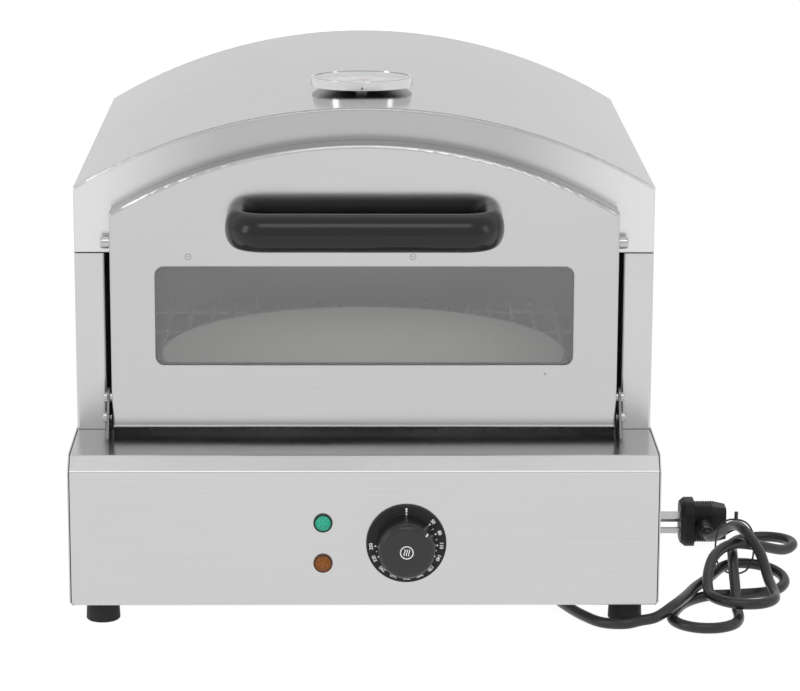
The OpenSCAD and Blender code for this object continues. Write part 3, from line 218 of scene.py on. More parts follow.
dial = {
    "centre": (0.0332, 0.0743),  # x and z of the knob's axis
    "face": -0.269,  # y of the fixed ring's front
    "thick": 0.00012,
    "numbers": [50, 80, 110, 140, 170, 200, 230, 260, 290, 320, 350],
    "from": 49.0,  # degrees clockwise from the top
    "to": 266.0,
    "textAt": 0.0280,
    "textSize": 0.0040,
    "dotAt": 0.0247,
    "dot": 0.0007,
    "smallDot": 0.00047,
    "barAt": (0.0263, 0.0297),
    "barEnd": 0.0013,  # length of the off mark's thick ends
    "barHalf": (0.0007, 0.00035, 0.0008),  # half width within, between and without
    "bold": 0.00009,
}
knob = {
    "front": -0.294,
    "rimMiddle": 0.0171,  # radius to the middle of the round shoulder
    "shoulder": 0.0052,
    "dish": 0.0606,  # the hollow face's radius of curvature
    "hollow": 0.0012,
    "tickTurn": 48.7,
    "tickFrom": 12.0,
    "tickTo": 56.0,
    "tickHalf": 0.0006,
    "ring": 0.0050,
    "ringLine": 0.00040,
    "waves": (-0.0018, 0.0, 0.0018),
    "waveHalf": 0.0027,  # half height of a wavy line
    "waveSwing": 0.00045,
    "waveLine": 0.00036,
    "thick": (-0.00003, 0.0001),
}
gauge = {
    "centre": (-0.0019, -0.065, 0.412),
    "lean": 2.0,
    "card": 0.0024,  # height of the card's face over the rim's lower edge
    "numbers": range(0, 501, 50),
    "start": 225.0,
    "sweep": 270.0,
    "tickOut": 0.0372,
    "longTick": 0.0042,
    "shortTick": 0.0024,
    "between": 5,
    "longHalf": 0.00035,
    "shortHalf": 0.00018,
    "thick": (-0.00004, 0.0001),
    "textAt": 0.0285,
    "textSize": 0.0048,
}


def prism(outline, low, high):
    # A flat outline of u, v points given a thickness along w.
    count = len(outline)
    base = np.column_stack([outline, np.full(count, low)])
    top = np.column_stack([outline, np.full(count, high)])
    sides = gridFaces(2, count)[:, ::-1]
    return np.vstack([base, top]), [list(range(count - 1, -1, -1)), list(range(count, 2 * count)), *sides]


def join(parts):
    points, faces, start = [], [], 0
    for p, f in parts:
        points.append(p)
        faces += [[i + start for i in face] for face in f]
        start += len(p)
    return np.vstack(points), faces


def disc(u, v, radius, low, high, sides=24):
    a = np.linspace(0, 2 * np.pi, sides, endpoint=False)
    return prism(np.stack([u + radius * np.cos(a), v + radius * np.sin(a)], 1), low, high)


def washer(inner, outer, low, high, sides=32):
    # A flat ring; its rows run inside low, outside low, outside high, inside high.
    a = np.linspace(0, 2 * np.pi, sides, endpoint=False)
    rows = [np.column_stack([r * np.cos(a), r * np.sin(a), np.full(sides, w)])
            for r, w in ((inner, low), (outer, low), (outer, high), (inner, high), (inner, low))]
    points = np.vstack(rows[:4])
    faces = gridFaces(5, sides)
    return points, np.where(faces >= 4 * sides, faces - 4 * sides, faces)


def bar(u0, v0, u1, v1, half, low, high):
    run = np.array([u1 - u0, v1 - v0])
    side = half * np.array([-run[1], run[0]]) / np.linalg.norm(run)
    ends = np.array([[u0, v0], [u0, v0], [u1, v1], [u1, v1]])
    return prism(ends + [side, -side, -side, side], low, high)


def numberMesh(words, size, low, high, bold=0.0):
    # Figures centred on their place, as points and faces.
    curve = bpy.data.curves.new("figures", "FONT")
    curve.body, curve.size = str(words), size
    curve.align_x, curve.align_y = "CENTER", "CENTER"
    curve.extrude, curve.resolution_u = (high - low) / 2, 3
    curve.offset = bold
    curve.space_character = 0.92
    holder = bpy.data.objects.new("figures", curve)
    bpy.context.scene.collection.objects.link(holder)
    mesh = bpy.data.meshes.new_from_object(holder.evaluated_get(bpy.context.evaluated_depsgraph_get()))
    points = np.zeros(len(mesh.vertices) * 3)
    mesh.vertices.foreach_get("co", points)
    faces = [list(p.vertices) for p in mesh.polygons]
    bpy.data.objects.remove(holder)
    bpy.data.curves.remove(curve)
    bpy.data.meshes.remove(mesh)
    return points.reshape(-1, 3) + [0, 0, (high + low) / 2], faces


def turned(part, angle, out):
    # Moves a part out by that radius and turns it clockwise by angle degrees.
    points, faces = part
    a = math.radians(angle)
    u, v = points[:, 0], points[:, 1] + out
    across, along = u * math.cos(a) + v * math.sin(a), v * math.cos(a) - u * math.sin(a)
    return np.stack([across, along, points[:, 2]], 1), faces


def dialMarks(d):
    low, high = -d["thick"] / 4, d["thick"]
    inner, outer = d["barAt"]
    stops = [inner, inner + d["barEnd"], outer - d["barEnd"], outer]
    parts = [bar(0, start, 0, end, half, low, high)
             for start, end, half in zip(stops, stops[1:], d["barHalf"])]
    parts.append(disc(0, d["dotAt"], d["dot"], low, high))
    step = (d["to"] - d["from"]) / (len(d["numbers"]) - 1)
    for i, number in enumerate(d["numbers"]):
        angle = d["from"] + i * step
        figures = numberMesh(number, d["textSize"], low, high, d["bold"])
        parts.append(turned(figures, angle, d["textAt"]))
        parts.append(turned(disc(0, 0, d["dot"], low, high), angle, d["dotAt"]))
        if i:
            parts.append(turned(disc(0, 0, d["smallDot"], low, high), angle - step / 2, d["dotAt"] - 0.0003))
    points, faces = join(parts)
    x, z = d["centre"]
    return np.stack([x + points[:, 0], d["face"] - points[:, 2], z + points[:, 1]], 1), faces


def knobMarks(k, d):
    low, high = k["thick"]
    parts = [washer(k["ring"] - k["ringLine"], k["ring"] + k["ringLine"], low, high, 64)]
    # Three rising heat lines: u swings as a sine of v.
    v = np.linspace(-k["waveHalf"], k["waveHalf"], 17)
    for u in k["waves"]:
        swing = u + k["waveSwing"] * np.sin(v / k["waveHalf"] * np.pi)
        right, left = (np.stack([swing + side * k["waveLine"], v], 1) for side in (1, -1))
        edge = np.vstack([right, left[::-1]])
        parts.append(prism(edge, low, high))
    points, faces = join(parts)
    x, z = d["centre"]
    # The face is hollow: its depth is what a ball of radius dish leaves at that distance.
    depth = k["hollow"] - k["dish"] + np.sqrt(k["dish"] ** 2 - points[:, 0] ** 2 - points[:, 1] ** 2)
    return np.stack([x + points[:, 0], k["front"] + depth - points[:, 2], z + points[:, 1]], 1), faces


def knobTick(k, d):
    # A strip that follows the round shoulder from tickFrom to tickTo degrees off the skirt.
    t = np.radians(np.linspace(k["tickFrom"], k["tickTo"], 12))
    away = np.stack([np.cos(t), -np.sin(t)], 1)
    rim = np.array([k["rimMiddle"], k["front"] + k["shoulder"]]) + k["shoulder"] * away
    lift = 0.0001 * away
    a = math.radians(k["tickTurn"])
    out, across = np.array([math.sin(a), math.cos(a)]), np.array([math.cos(a), -math.sin(a)])
    x, z = d["centre"]
    rows = []
    for line, side in ((rim - lift / 2, -1), (rim - lift / 2, 1), (rim + lift, 1), (rim + lift, -1)):
        flat = line[:, :1] * out + side * k["tickHalf"] * across
        rows.append(np.stack([x + flat[:, 0], line[:, 1], z + flat[:, 1]], 1))
    points = np.stack(rows, 1).reshape(-1, 3)
    last = 4 * (len(rim) - 1)
    return points, [*gridFaces(len(rim), 4), [0, 1, 2, 3], [last + 3, last + 2, last + 1, last]]


def gaugeMarks(g):
    low, high = (g["card"] + t for t in g["thick"])
    parts = []
    count = (len(g["numbers"]) - 1) * g["between"]
    for i in range(count + 1):
        angle = 90 - g["start"] + g["sweep"] * i / count
        long = i % g["between"] == 0
        length = g["longTick"] if long else g["shortTick"]
        half = g["longHalf"] if long else g["shortHalf"]
        parts.append(turned(bar(0, -length, 0, 0, half, low, high), angle, g["tickOut"]))
        if long:
            number = numberMesh(g["numbers"][i // g["between"]], g["textSize"], low, high)
            a = math.radians(angle)
            points, faces = number
            parts.append((points + [g["textAt"] * math.sin(a), g["textAt"] * math.cos(a), 0], faces))
    points, faces = join(parts)
    lean = Matrix.Rotation(math.radians(-g["lean"]), 3, "X")
    return points @ np.array(lean).T + g["centre"], faces


rivets = {
    "door": -0.2,
    "places": [(-0.1415, 0.2934), (0.0388, 0.2935), (0.1461, 0.1969)],
    "outer": (0.0026, 0.0026, 0.0010),
    "line": 0.00045,
    "slot": (0.0011, 0.0011, 0.0),
    "thick": 0.00009,
}


def rivetMarks(r):
    low, high = -r["thick"] / 3, r["thick"]
    parts = []
    for (x, z), outer, slot in zip(r["places"], r["outer"], r["slot"]):
        mark = [washer(outer - r["line"], outer, low, high)]
        if slot:
            mark.append(bar(-slot, slot * 0.5, slot, -slot * 0.3, r["line"] / 2, low, high))
        points, faces = join(mark)
        parts.append((points + [x, z, 0], faces))
    points, faces = join(parts)
    return np.stack([points[:, 0], r["door"] - points[:, 2], points[:, 1]], 1), faces


doorRivets = addPiece("doorRivets", *rivetMarks(rivets), "door", "body_steel", smooth=False)
dialPrint = addPiece("dialPrint", *dialMarks(dial), "oven", "dial_black", smooth=False)
knobPrint = addPiece("knobPrint", *knobMarks(knob, dial), "knob", "knob_black", smooth=False)
knobPointer = addPiece("knobPointer", *knobTick(knob, dial), "knob", "knob_black", smooth=False)
gaugePrint = addPiece("gaugePrint", *gaugeMarks(gauge), "oven", "gauge_card", smooth=False)
print("marks printed")


def newGroup(name, inputs, outputs):
    group = bpy.data.node_groups.new(name, "ShaderNodeTree")
    for label, kind, value in inputs:
        socket = group.interface.new_socket(name=label, in_out="INPUT", socket_type="NodeSocket" + kind)
        if value is not None:
            socket.default_value = value
    for label, kind in outputs:
        group.interface.new_socket(name=label, in_out="OUTPUT", socket_type="NodeSocket" + kind)
    return group, group.nodes.new("NodeGroupInput"), group.nodes.new("NodeGroupOutput")


def addNode(tree, kind, values=None, **settings):
    node = tree.nodes.new("ShaderNode" + kind)
    for key, value in settings.items():
        setattr(node, key, value)
    for key, value in (values or {}).items():
        node.inputs[key].default_value = value
    return node


def link(tree, source, target):
    tree.links.new(source, target)


def buildGrain():
    # Streaky or even grain: a noise mask, and the normal that it gives.
    group, given, made = newGroup(
        "surfaceGrain",
        [("Vector", "Vector", None), ("Scale", "Float", 1.0), ("Detail", "Float", 3.0),
         ("Depth", "Float", 0.0001), ("Normal", "Vector", None)],
        [("Mask", "Float"), ("Normal", "Vector")])
    noise = addNode(group, "TexNoise", {"Roughness": 0.62})
    bump = addNode(group, "Bump", {"Strength": 1.0})
    link(group, given.outputs["Vector"], noise.inputs["Vector"])
    link(group, given.outputs["Scale"], noise.inputs["Scale"])
    link(group, given.outputs["Detail"], noise.inputs["Detail"])
    link(group, noise.outputs["Fac"], bump.inputs["Height"])
    link(group, given.outputs["Depth"], bump.inputs["Distance"])
    link(group, given.outputs["Normal"], bump.inputs["Normal"])
    link(group, noise.outputs["Fac"], made.inputs["Mask"])
    link(group, bump.outputs["Normal"], made.inputs["Normal"])
    return group


def buildClouds():
    # Wide soft patches, such as wiped films and handling.
    group, given, made = newGroup(
        "softClouds",
        [("Vector", "Vector", None), ("Scale", "Float", 8.0), ("From", "Float", 0.35), ("To", "Float", 0.7)],
        [("Mask", "Float")])
    noise = addNode(group, "TexNoise", {"Detail": 4.0, "Distortion": 0.6})
    spread = addNode(group, "MapRange", interpolation_type="SMOOTHSTEP")
    link(group, given.outputs["Vector"], noise.inputs["Vector"])
    link(group, given.outputs["Scale"], noise.inputs["Scale"])
    link(group, noise.outputs["Fac"], spread.inputs["Value"])
    link(group, given.outputs["From"], spread.inputs["From Min"])
    link(group, given.outputs["To"], spread.inputs["From Max"])
    link(group, spread.outputs["Result"], made.inputs["Mask"])
    return group


grainGroup, cloudGroup = buildGrain(), buildClouds()

# light and dark are the colour's two ends, smooth and rough those of the roughness, and depth
# the height of the grain in metres. stretch is grain cells per metre along x, y and z, clouds
# patches per metre, shine the strength of plain reflection, spin how far it runs with the
# brushing, edge the radius that folded edges are lit with, and sides a painted lighter tone far
# from the middle, as start, end and factor, standing in for brighter light on the sides.
finishes = {
    "steelAcross": {"light": 0.62, "dark": 0.55, "metal": 1, "smooth": 0.17, "rough": 0.24,
                    "depth": 0.0000025, "stretch": (12, 2600, 2600), "clouds": 5.0, "spin": 0.4},
    # Painted shade: a darker copy of the panel steel, standing in for the dimmer light on the door.
    "steelDoorShaded": {"light": 0.56, "dark": 0.5, "metal": 1, "smooth": 0.13, "rough": 0.19,
                  "depth": 0.000002, "stretch": (12, 2600, 2600), "clouds": 5.0, "edge": 0.0016,
                  "spin": 0.3},
    "steelRoof": {"light": 0.57, "dark": 0.51, "metal": 1, "smooth": 0.1, "rough": 0.17,
                  "depth": 0.0000018, "stretch": (12, 2600, 2600), "clouds": 5.0, "edge": 0.0016,
                  "spin": 0.3},
    # Painted shade and light: a darker copy of the panel steel, made lighter towards the sides by sides.
    "steelArchPaintedLight": {"light": 0.47, "dark": 0.42, "metal": 1, "smooth": 0.2, "rough": 0.27,
                  "depth": 0.0000025, "stretch": (12, 2600, 2600), "clouds": 5.0, "edge": 0.0016,
                  "spin": 0.4, "sides": (0.1, 0.235, 1.55)},
    "steelDeep": {"light": 0.62, "dark": 0.55, "metal": 1, "smooth": 0.26, "rough": 0.36,
                  "depth": 0.0000025, "stretch": (2600, 12, 2600), "clouds": 5.0, "spin": 0.4},
    "steelUpright": {"light": 0.64, "dark": 0.57, "metal": 1, "smooth": 0.26, "rough": 0.36,
                     "depth": 0.0000025, "stretch": (2600, 2600, 12), "clouds": 5.0},
    "steelInside": {"light": 0.6, "dark": 0.48, "metal": 1, "smooth": 0.3, "rough": 0.46,
                    "depth": 0.000006, "stretch": (900, 12, 900), "clouds": 9.0},
    "hingeSteel": {"light": 0.26, "dark": 0.15, "metal": 1, "smooth": 0.3, "rough": 0.5,
                   "depth": 0.000006, "stretch": (500, 500, 500), "clouds": 30.0},
    "zincSheet": {"light": 0.52, "dark": 0.4, "metal": 1, "smooth": 0.35, "rough": 0.55,
                  "depth": 0.00001, "stretch": (90, 90, 90), "clouds": 30.0},
    "brightSteel": {"light": 0.56, "dark": 0.44, "metal": 1, "smooth": 0.12, "rough": 0.24,
                    "depth": 0.000004, "stretch": (900, 900, 900), "clouds": 40.0},
    "polishedRim": {"light": 0.76, "dark": 0.5, "metal": 1, "smooth": 0.08, "rough": 0.2,
                    "depth": 0.000004, "stretch": (30, 30, 2600), "clouds": 60.0},
    "platedWire": {"light": 0.66, "dark": 0.5, "metal": 1, "smooth": 0.16, "rough": 0.34,
                   "depth": 0.00001, "stretch": (400, 400, 400), "clouds": 25.0},
    "heatedSheath": {"light": (0.2, 0.18, 0.16), "dark": (0.09, 0.085, 0.08), "metal": 1,
                     "smooth": 0.34, "rough": 0.6, "depth": 0.00003, "stretch": (500, 500, 500),
                     "clouds": 22.0},
    "feetRubber": {"light": 0.016, "dark": 0.009, "metal": 0, "shine": 0.3, "smooth": 0.5,
                   "rough": 0.72, "depth": 0.00005, "stretch": (900, 900, 900), "clouds": 30.0},
    "dialPaint": {"light": 0.016, "dark": 0.011, "metal": 0, "shine": 0.26, "smooth": 0.42,
                  "rough": 0.55, "depth": 0.00001, "stretch": (1800, 1800, 1800), "clouds": 60.0},
    "knobPlastic": {"light": 0.016, "dark": 0.01, "metal": 0, "shine": 0.5, "smooth": 0.22,
                    "rough": 0.32, "depth": 0.000006, "stretch": (1500, 1500, 1500), "clouds": 50.0},
    "handleBakelite": {"light": 0.003, "dark": 0.002, "metal": 0, "smooth": 0.16, "rough": 0.23,
                       "depth": 0.000002, "stretch": (700, 700, 700), "clouds": 14.0, "shine": 0.42},
    "switchCase": {"light": (0.42, 0.33, 0.2), "dark": (0.3, 0.22, 0.13), "metal": 0, "smooth": 0.4,
                   "rough": 0.6, "depth": 0.00002, "stretch": (700, 700, 700), "clouds": 30.0},
    "bulbCopper": {"light": (0.72, 0.4, 0.26), "dark": (0.5, 0.25, 0.15), "metal": 1, "smooth": 0.2,
                   "rough": 0.4, "depth": 0.00001, "stretch": (700, 20, 700), "clouds": 30.0},
    "lampCase": {"light": 0.04, "dark": 0.025, "metal": 0, "smooth": 0.4, "rough": 0.6,
                 "depth": 0.00002, "stretch": (900, 900, 900), "clouds": 40.0},
    "glazedBlock": {"light": (0.72, 0.68, 0.56), "dark": (0.62, 0.57, 0.44), "metal": 0, "smooth": 0.12,
                    "rough": 0.3, "depth": 0.00003, "stretch": (300, 300, 300), "clouds": 40.0},
    "woolBlanket": {"light": 0.02, "dark": 0.008, "metal": 0, "smooth": 0.9, "rough": 1.0,
                    "depth": 0.0006, "stretch": (260, 90, 260), "clouds": 30.0, "shine": 0.1},
    "firedStone": {"light": (0.84, 0.83, 0.81), "dark": (0.74, 0.72, 0.69), "metal": 0, "smooth": 0.75,
                   "rough": 0.95, "depth": 0.00012, "stretch": (420, 420, 420), "clouds": 12.0},
    "gaugeCard": {"light": 0.78, "dark": 0.7, "metal": 0, "smooth": 0.4, "rough": 0.55,
                  "depth": 0.00001, "stretch": (900, 900, 900), "clouds": 40.0},
    "pointerPaint": {"light": (0.5, 0.02, 0.015), "dark": (0.36, 0.012, 0.01), "metal": 0,
                     "smooth": 0.2, "rough": 0.34, "depth": 0.00001, "stretch": (900, 900, 900),
                     "clouds": 60.0},
    "markWhite": {"light": 0.86, "dark": 0.72, "metal": 0, "smooth": 0.45, "rough": 0.6,
                  "depth": 0.000008, "stretch": (2500, 2500, 2500), "clouds": 300.0},
    "rivetShade": {"light": 0.3, "dark": 0.2, "metal": 1, "smooth": 0.3, "rough": 0.45,
                   "depth": 0.000004, "stretch": (900, 900, 900), "clouds": 90.0},
    "markBlack": {"light": 0.02, "dark": 0.01, "metal": 0, "smooth": 0.4, "rough": 0.55,
                  "depth": 0.000008, "stretch": (2500, 2500, 2500), "clouds": 300.0},
    "cordVinyl": {"light": 0.014, "dark": 0.008, "metal": 0, "shine": 0.5, "smooth": 0.26,
                  "rough": 0.42, "depth": 0.00003, "stretch": (420, 420, 420), "clouds": 26.0},
    "plugVinyl": {"light": 0.01, "dark": 0.006, "metal": 0, "shine": 0.25, "smooth": 0.4, "rough": 0.55,
                  "depth": 0.00003, "stretch": (900, 900, 900), "clouds": 40.0},
    "tieCoat": {"light": 0.02, "dark": 0.01, "metal": 0, "smooth": 0.35, "rough": 0.5, "depth": 0.00003,
                "stretch": (1400, 1400, 1400), "clouds": 90.0},
    "bladeMetal": {"light": 0.5, "dark": 0.4, "metal": 1, "smooth": 0.22, "rough": 0.36,
                   "depth": 0.000008, "stretch": (900, 900, 900), "clouds": 80.0},
}


mixing = {"grain": 0.35, "clouds": 0.65}  # shares of the two masks in the roughness


def colourOf(value):
    return (value, value, value, 1) if isinstance(value, (int, float)) else (*value, 1)


def makeFinish(name, f):
    # Grain sways the colour and the normal; clouds sway the roughness.
    material = bpy.data.materials.new(name)
    material.use_nodes = True
    tree = material.node_tree
    shader = tree.nodes["Principled BSDF"]
    place = addNode(tree, "TexCoord")
    spread = addNode(tree, "Mapping", {"Scale": f["stretch"]})
    grain = addNode(tree, "Group", node_tree=grainGroup)
    grain.inputs["Depth"].default_value = f["depth"]
    if "edge" in f:
        # Rounds the light over the narrow flats of folded edges.
        link(tree, addNode(tree, "Bevel", {"Radius": f["edge"]}).outputs["Normal"], grain.inputs["Normal"])
    else:
        link(tree, addNode(tree, "NewGeometry").outputs["Normal"], grain.inputs["Normal"])
    clouds = addNode(tree, "Group", node_tree=cloudGroup)
    clouds.inputs["Scale"].default_value = f["clouds"]
    tint = addNode(tree, "Mix", data_type="RGBA")
    tint.inputs[6].default_value, tint.inputs[7].default_value = colourOf(f["dark"]), colourOf(f["light"])
    gloss = addNode(tree, "MapRange", {"To Min": f["smooth"], "To Max": f["rough"]})
    fine = addNode(tree, "Math", {1: mixing["grain"]}, operation="MULTIPLY")
    blend = addNode(tree, "Math", operation="ADD", use_clamp=True)
    wide = addNode(tree, "Math", {1: mixing["clouds"]}, operation="MULTIPLY")
    link(tree, place.outputs["Object"], spread.inputs["Vector"])
    link(tree, spread.outputs["Vector"], grain.inputs["Vector"])
    link(tree, place.outputs["Object"], clouds.inputs["Vector"])
    link(tree, grain.outputs["Mask"], tint.inputs["Factor"])
    link(tree, grain.outputs["Mask"], fine.inputs[0])
    link(tree, clouds.outputs["Mask"], wide.inputs[0])
    link(tree, fine.outputs[0], blend.inputs[0])
    link(tree, wide.outputs[0], blend.inputs[1])
    link(tree, blend.outputs[0], gloss.inputs["Value"])
    colour = tint.outputs[2]
    if "sides" in f:
        # Painted light: the colour turns lighter from the first to the second distance off the middle.
        start, end, lift = f["sides"]
        split = addNode(tree, "SeparateXYZ")
        off = addNode(tree, "Math", operation="ABSOLUTE")
        rise = addNode(tree, "MapRange", {"From Min": start, "From Max": end, "To Min": 1.0, "To Max": lift},
                       interpolation_type="SMOOTHSTEP")
        paintedSideLight = addNode(tree, "VectorMath", operation="SCALE")
        link(tree, place.outputs["Object"], split.inputs["Vector"])
        link(tree, split.outputs["X"], off.inputs[0])
        link(tree, off.outputs[0], rise.inputs["Value"])
        link(tree, colour, paintedSideLight.inputs[0])
        link(tree, rise.outputs["Result"], paintedSideLight.inputs["Scale"])
        colour = paintedSideLight.outputs["Vector"]
    link(tree, colour, shader.inputs["Base Color"])
    link(tree, gloss.outputs["Result"], shader.inputs["Roughness"])
    link(tree, grain.outputs["Normal"], shader.inputs["Normal"])
    shader.inputs["Metallic"].default_value = f["metal"]
    shader.inputs["Anisotropic"].default_value = f.get("spin", 0)
    shader.inputs["Specular IOR Level"].default_value = f.get("shine", 0.5)
    return material


materials = {name: makeFinish(name, f) for name, f in finishes.items()}

glass = {
    "doorPane": {"colour": (0.86, 0.865, 0.865), "rough": 0.04, "shade": (0.97, 0.97, 0.97),
                 "clear": 0.94, "bending": 1.48},
    "gaugePane": {"colour": (0.96, 0.97, 0.97), "rough": 0.01, "shade": (0.96, 0.97, 0.97),
                  "clear": 1.0, "bending": 1.48},
}


def makeGlass(name, g):
    # Glass with a faint film that lets the light of lamps through to what lies behind it.
    material = bpy.data.materials.new(name)
    material.use_nodes = True
    tree = material.node_tree
    shader = tree.nodes["Principled BSDF"]
    shader.inputs["Base Color"].default_value = (*g["colour"], 1)
    shader.inputs["Roughness"].default_value = g["rough"]
    shader.inputs["Transmission Weight"].default_value = g["clear"]
    shader.inputs["IOR"].default_value = g["bending"]
    rays = addNode(tree, "LightPath")
    either = addNode(tree, "Math", operation="MAXIMUM")
    clear = addNode(tree, "BsdfTransparent", {"Color": (*g["shade"], 1)})
    choose = addNode(tree, "MixShader")
    link(tree, rays.outputs["Is Shadow Ray"], either.inputs[0])
    link(tree, rays.outputs["Is Diffuse Ray"], either.inputs[1])
    link(tree, either.outputs[0], choose.inputs["Fac"])
    link(tree, shader.outputs["BSDF"], choose.inputs[1])
    link(tree, clear.outputs["BSDF"], choose.inputs[2])
    link(tree, choose.outputs["Shader"], tree.nodes["Material Output"].inputs["Surface"])
    return material


materials.update({name: makeGlass(name, g) for name, g in glass.items()})

lenses = {
    "greenLens": {"rim": (0.003, 0.028, 0.018), "heart": (0.03, 0.46, 0.29), "centre": (-0.0332, 0.0910)},
    "orangeLens": {"rim": (0.09, 0.024, 0.006), "heart": (0.27, 0.082, 0.004), "centre": (-0.0332, 0.0576)},
}
lensForm = {
    "inner": 0.0056,
    "outer": 0.0064,
    "facet": 900.0,
    "relief": 0.6,
    "depth": 0.0004,
    "sparkle": (0.7, 1.35, 0.6),  # distance in a facet, brightness at its middle and there
    "rough": 0.24,
    "shine": 0.35,
}


def makeLens(name, s):
    # Moulded lens: a bright pebbled middle inside a darker clear rim.
    material = bpy.data.materials.new(name)
    material.use_nodes = True
    tree = material.node_tree
    shader = tree.nodes["Principled BSDF"]
    place = addNode(tree, "TexCoord")
    shift = addNode(tree, "Mapping", {"Location": (-s["centre"][0], 0, -s["centre"][1])})
    split = addNode(tree, "SeparateXYZ")
    joinFlat = addNode(tree, "CombineXYZ")
    length = addNode(tree, "VectorMath", operation="LENGTH")
    ring = addNode(tree, "MapRange", {"From Min": lensForm["inner"], "From Max": lensForm["outer"]},
                   interpolation_type="SMOOTHSTEP")
    cells = addNode(tree, "TexVoronoi", {"Scale": lensForm["facet"]})
    bump = addNode(tree, "Bump", {"Strength": lensForm["relief"], "Distance": lensForm["depth"]})
    tint = addNode(tree, "Mix", data_type="RGBA")
    tint.inputs[6].default_value, tint.inputs[7].default_value = (*s["heart"], 1), (*s["rim"], 1)
    far, bright, dim = lensForm["sparkle"]
    sparkle = addNode(tree, "MapRange", {"From Max": far, "To Min": bright, "To Max": dim})
    glow = addNode(tree, "VectorMath", operation="SCALE")
    link(tree, place.outputs["Object"], shift.inputs["Vector"])
    link(tree, shift.outputs["Vector"], split.inputs["Vector"])
    link(tree, split.outputs["X"], joinFlat.inputs["X"])
    link(tree, split.outputs["Z"], joinFlat.inputs["Z"])
    link(tree, joinFlat.outputs["Vector"], length.inputs[0])
    link(tree, length.outputs["Value"], ring.inputs["Value"])
    link(tree, place.outputs["Object"], cells.inputs["Vector"])
    link(tree, cells.outputs["Distance"], bump.inputs["Height"])
    link(tree, cells.outputs["Distance"], sparkle.inputs["Value"])
    link(tree, tint.outputs[2], glow.inputs[0])
    link(tree, sparkle.outputs["Result"], glow.inputs["Scale"])
    link(tree, ring.outputs["Result"], tint.inputs["Factor"])
    link(tree, glow.outputs["Vector"], shader.inputs["Base Color"])
    link(tree, bump.outputs["Normal"], shader.inputs["Normal"])
    shader.inputs["Roughness"].default_value = lensForm["rough"]
    shader.inputs["Specular IOR Level"].default_value = lensForm["shine"]
    return material


materials.update({name: makeLens(name, s) for name, s in lenses.items()})

wearing = {
    "steelAcross": ["base_front", "base_back", "hood_back", "rear_panel"],
    "steelDoorShaded": ["door_outer"],
    "steelArchPaintedLight": ["hood_front"],
    "steelRoof": ["hood_shell"],
    "steelDeep": ["base_side_left", "base_side_right"],
    "steelUpright": ["side_wall_left", "side_wall_right"],
    "steelInside": ["cavity_liner", "cavity_pan", "door_inner", "glass_retainer", "element_hangers"],
    "hingeSteel": ["hinge_plate_left", "hinge_plate_right"],
    "zincSheet": ["base_floor", "foot_fixings"],
    "feetRubber": ["foot_front_left", "foot_front_right", "foot_rear_left", "foot_rear_right"],
    "brightSteel": ["panel_screws", "handle_screws", "door_studs", "hinge_pins", "hinge_rivets", "gauge_nut",
                    "gauge_stem", "thermostat_shaft"],
    "dialPaint": ["dial_ring"],
    "knobPlastic": ["control_knob"],
    "handleBakelite": ["door_handle"],
    "switchCase": ["thermostat"],
    "bulbCopper": ["thermostat_bulb"],
    "greenLens": ["green_lens"],
    "orangeLens": ["orange_lens"],
    "lampCase": ["lamp_bodies"],
    "glazedBlock": ["terminal_block"],
    "woolBlanket": ["insulation"],
    "heatedSheath": ["upper_element", "lower_element"],
    "platedWire": ["wire_rack"],
    "firedStone": ["pizza_stone"],
    "doorPane": ["door_glass"],
    "polishedRim": ["gauge_case"],
    "gaugePane": ["gauge_glass"],
    "gaugeCard": ["gauge_dial"],
    "pointerPaint": ["gauge_pointer"],
    "cordVinyl": ["plug_relief", "cord_gland", "power_cord", "cord_hank"],
    "tieCoat": ["cord_tie"],
    "plugVinyl": ["plug_body"],
    "bladeMetal": ["plug_blades"],
}


def wear(thing, finish):
    if not thing.material_slots:
        thing.data.materials.append(materials[finish])
    for slot in thing.material_slots:
        slot.material = materials[finish]


for finish, names in wearing.items():
    for name in names:
        wear(nodes[name], finish)
for piece, finish in ((cordSheath, "cordVinyl"), (doorGrip, "handleBakelite"), (doorRivets, "rivetShade"),
                      (dialPrint, "markWhite"), (knobPrint, "markWhite"), (knobPointer, "markWhite"),
                      (gaugePrint, "markBlack")):
    wear(piece, finish)
print("finishes given to", sum(map(len, wearing.values())), "nodes")

studio = {
    "floor": (-7.0, 7.0, -6.0, 12.0),
    "floorLevel": -0.0004,
    "floorColour": 0.9,
    "floorRough": 0.9,
    "floorShare": 0.85,
    "floorGlow": 1.12,
    "skyLight": 0.6,
    "skyFront": 0.86,  # what a mirror sees towards the viewer
    "skyBack": 0.8,  # and behind the oven
    "lamps": [
        # name, place, aims at, width, height, power, seen in mirrors
        ("frontBox", (0.0, -1.5, 2.3), (0, -0.1, 0.2), 1.7, 0.8, 7.5, True),
        ("leftBox", (-2.6, -1.3, 1.3), (0, 0, 0.25), 0.7, 1.6, 8.0, True),
        ("rightBox", (2.8, -1.1, 1.3), (0, 0, 0.25), 0.7, 1.6, 5.0, True),
        ("lowFill", (0.25, -3.0, 1.0), (0, 0, 0.2), 1.2, 0.6, 26.0, False),
        ("cavityFill", (0.0, 0.03, 0.362), (0, 0.031, 0.17), 0.2, 0.3, 0.11, False),
    ],
}


def whiteRays(tree):
    # 1 for what the camera sees directly, in a mirror or through glass.
    rays = addNode(tree, "LightPath")
    first = addNode(tree, "Math", operation="MAXIMUM")
    both = addNode(tree, "Math", operation="MAXIMUM")
    link(tree, rays.outputs["Is Camera Ray"], first.inputs[0])
    link(tree, rays.outputs["Is Glossy Ray"], first.inputs[1])
    link(tree, first.outputs[0], both.inputs[0])
    link(tree, rays.outputs["Is Transmission Ray"], both.inputs[1])
    return both.outputs[0]


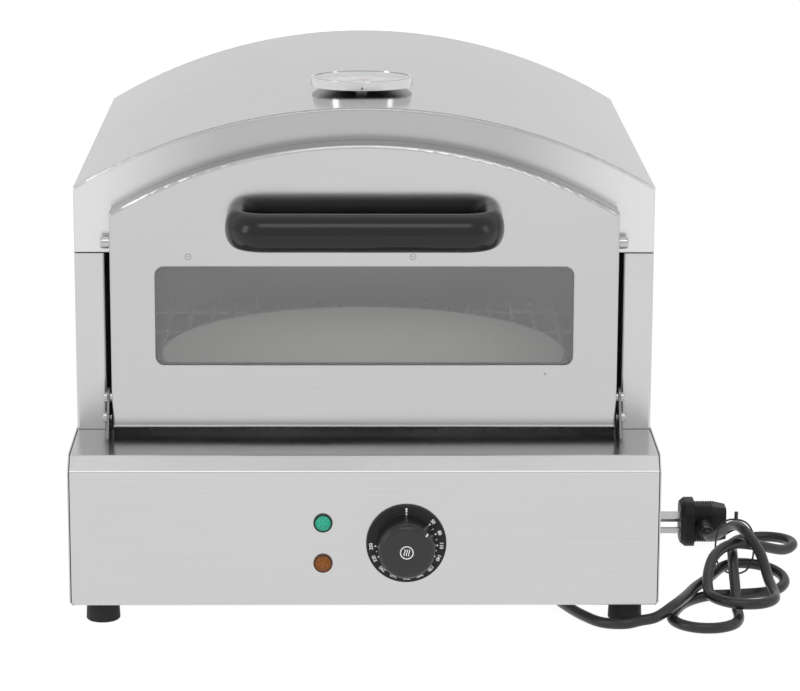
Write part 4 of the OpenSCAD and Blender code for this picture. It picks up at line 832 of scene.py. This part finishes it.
def addFloor(s):
    x0, x1, y0, y1 = s["floor"]
    z = s["floorLevel"]
    mesh = bpy.data.meshes.new("studioFloor")
    mesh.from_pydata([(x0, y0, z), (x1, y0, z), (x1, y1, z), (x0, y1, z)], [], [(0, 1, 2, 3)])
    floor = bpy.data.objects.new("studioFloor", mesh)
    bpy.context.scene.collection.objects.link(floor)
    material = bpy.data.materials.new("paleFloor")
    material.use_nodes = True
    tree = material.node_tree
    shader = tree.nodes["Principled BSDF"]
    shader.inputs["Base Color"].default_value = (s["floorColour"],) * 3 + (1,)
    shader.inputs["Roughness"].default_value = s["floorRough"]
    glow = addNode(tree, "Emission", {"Color": (1, 1, 1, 1), "Strength": s["floorGlow"]})
    share = addNode(tree, "Math", {1: s["floorShare"]}, operation="MULTIPLY")
    choose = addNode(tree, "MixShader")
    link(tree, whiteRays(tree), share.inputs[0])
    link(tree, share.outputs[0], choose.inputs["Fac"])
    link(tree, shader.outputs["BSDF"], choose.inputs[1])
    link(tree, glow.outputs["Emission"], choose.inputs[2])
    link(tree, choose.outputs["Shader"], tree.nodes["Material Output"].inputs["Surface"])
    mesh.materials.append(material)


def addSky(s):
    world = bpy.data.worlds.new("studioSky")
    bpy.context.scene.world = world
    world.use_nodes = True
    tree = world.node_tree
    back = tree.nodes["Background"]
    back.inputs["Color"].default_value = (1, 1, 1, 1)
    # Mirrors see a room that is brighter towards -Y; other rays see plain white.
    way, split, rays = addNode(tree, "TexCoord"), addNode(tree, "SeparateXYZ"), addNode(tree, "LightPath")
    room = addNode(tree, "MapRange", {"From Min": -0.9, "From Max": 0.9, "To Min": s["skyFront"],
                                      "To Max": s["skyBack"]}, interpolation_type="SMOOTHSTEP")
    level = addNode(tree, "Mix", {2: 1.0})
    strength = addNode(tree, "Mix", {2: s["skyLight"]})
    link(tree, way.outputs["Generated"], split.inputs["Vector"])
    link(tree, split.outputs["Y"], room.inputs["Value"])
    link(tree, rays.outputs["Is Glossy Ray"], level.inputs["Factor"])
    link(tree, room.outputs["Result"], level.inputs[3])
    link(tree, whiteRays(tree), strength.inputs["Factor"])
    link(tree, level.outputs[0], strength.inputs[3])
    link(tree, strength.outputs[0], back.inputs["Strength"])


def addLamp(name, place, aim, width, height, power, mirrored):
    light = bpy.data.lights.new(name, "AREA")
    light.shape, light.size, light.size_y, light.energy = "RECTANGLE", width, height, power
    holder = bpy.data.objects.new(name, light)
    holder.location = place
    holder.visible_glossy = mirrored
    holder.visible_camera = holder.visible_transmission = False
    holder.rotation_euler = (Vector(aim) - Vector(place)).to_track_quat("-Z", "Y").to_euler()
    bpy.context.scene.collection.objects.link(holder)


addFloor(studio)
addSky(studio)
for lamp in studio["lamps"]:
    addLamp(*lamp)
bpy.context.scene.view_settings.view_transform = "Standard"
print("studio set")
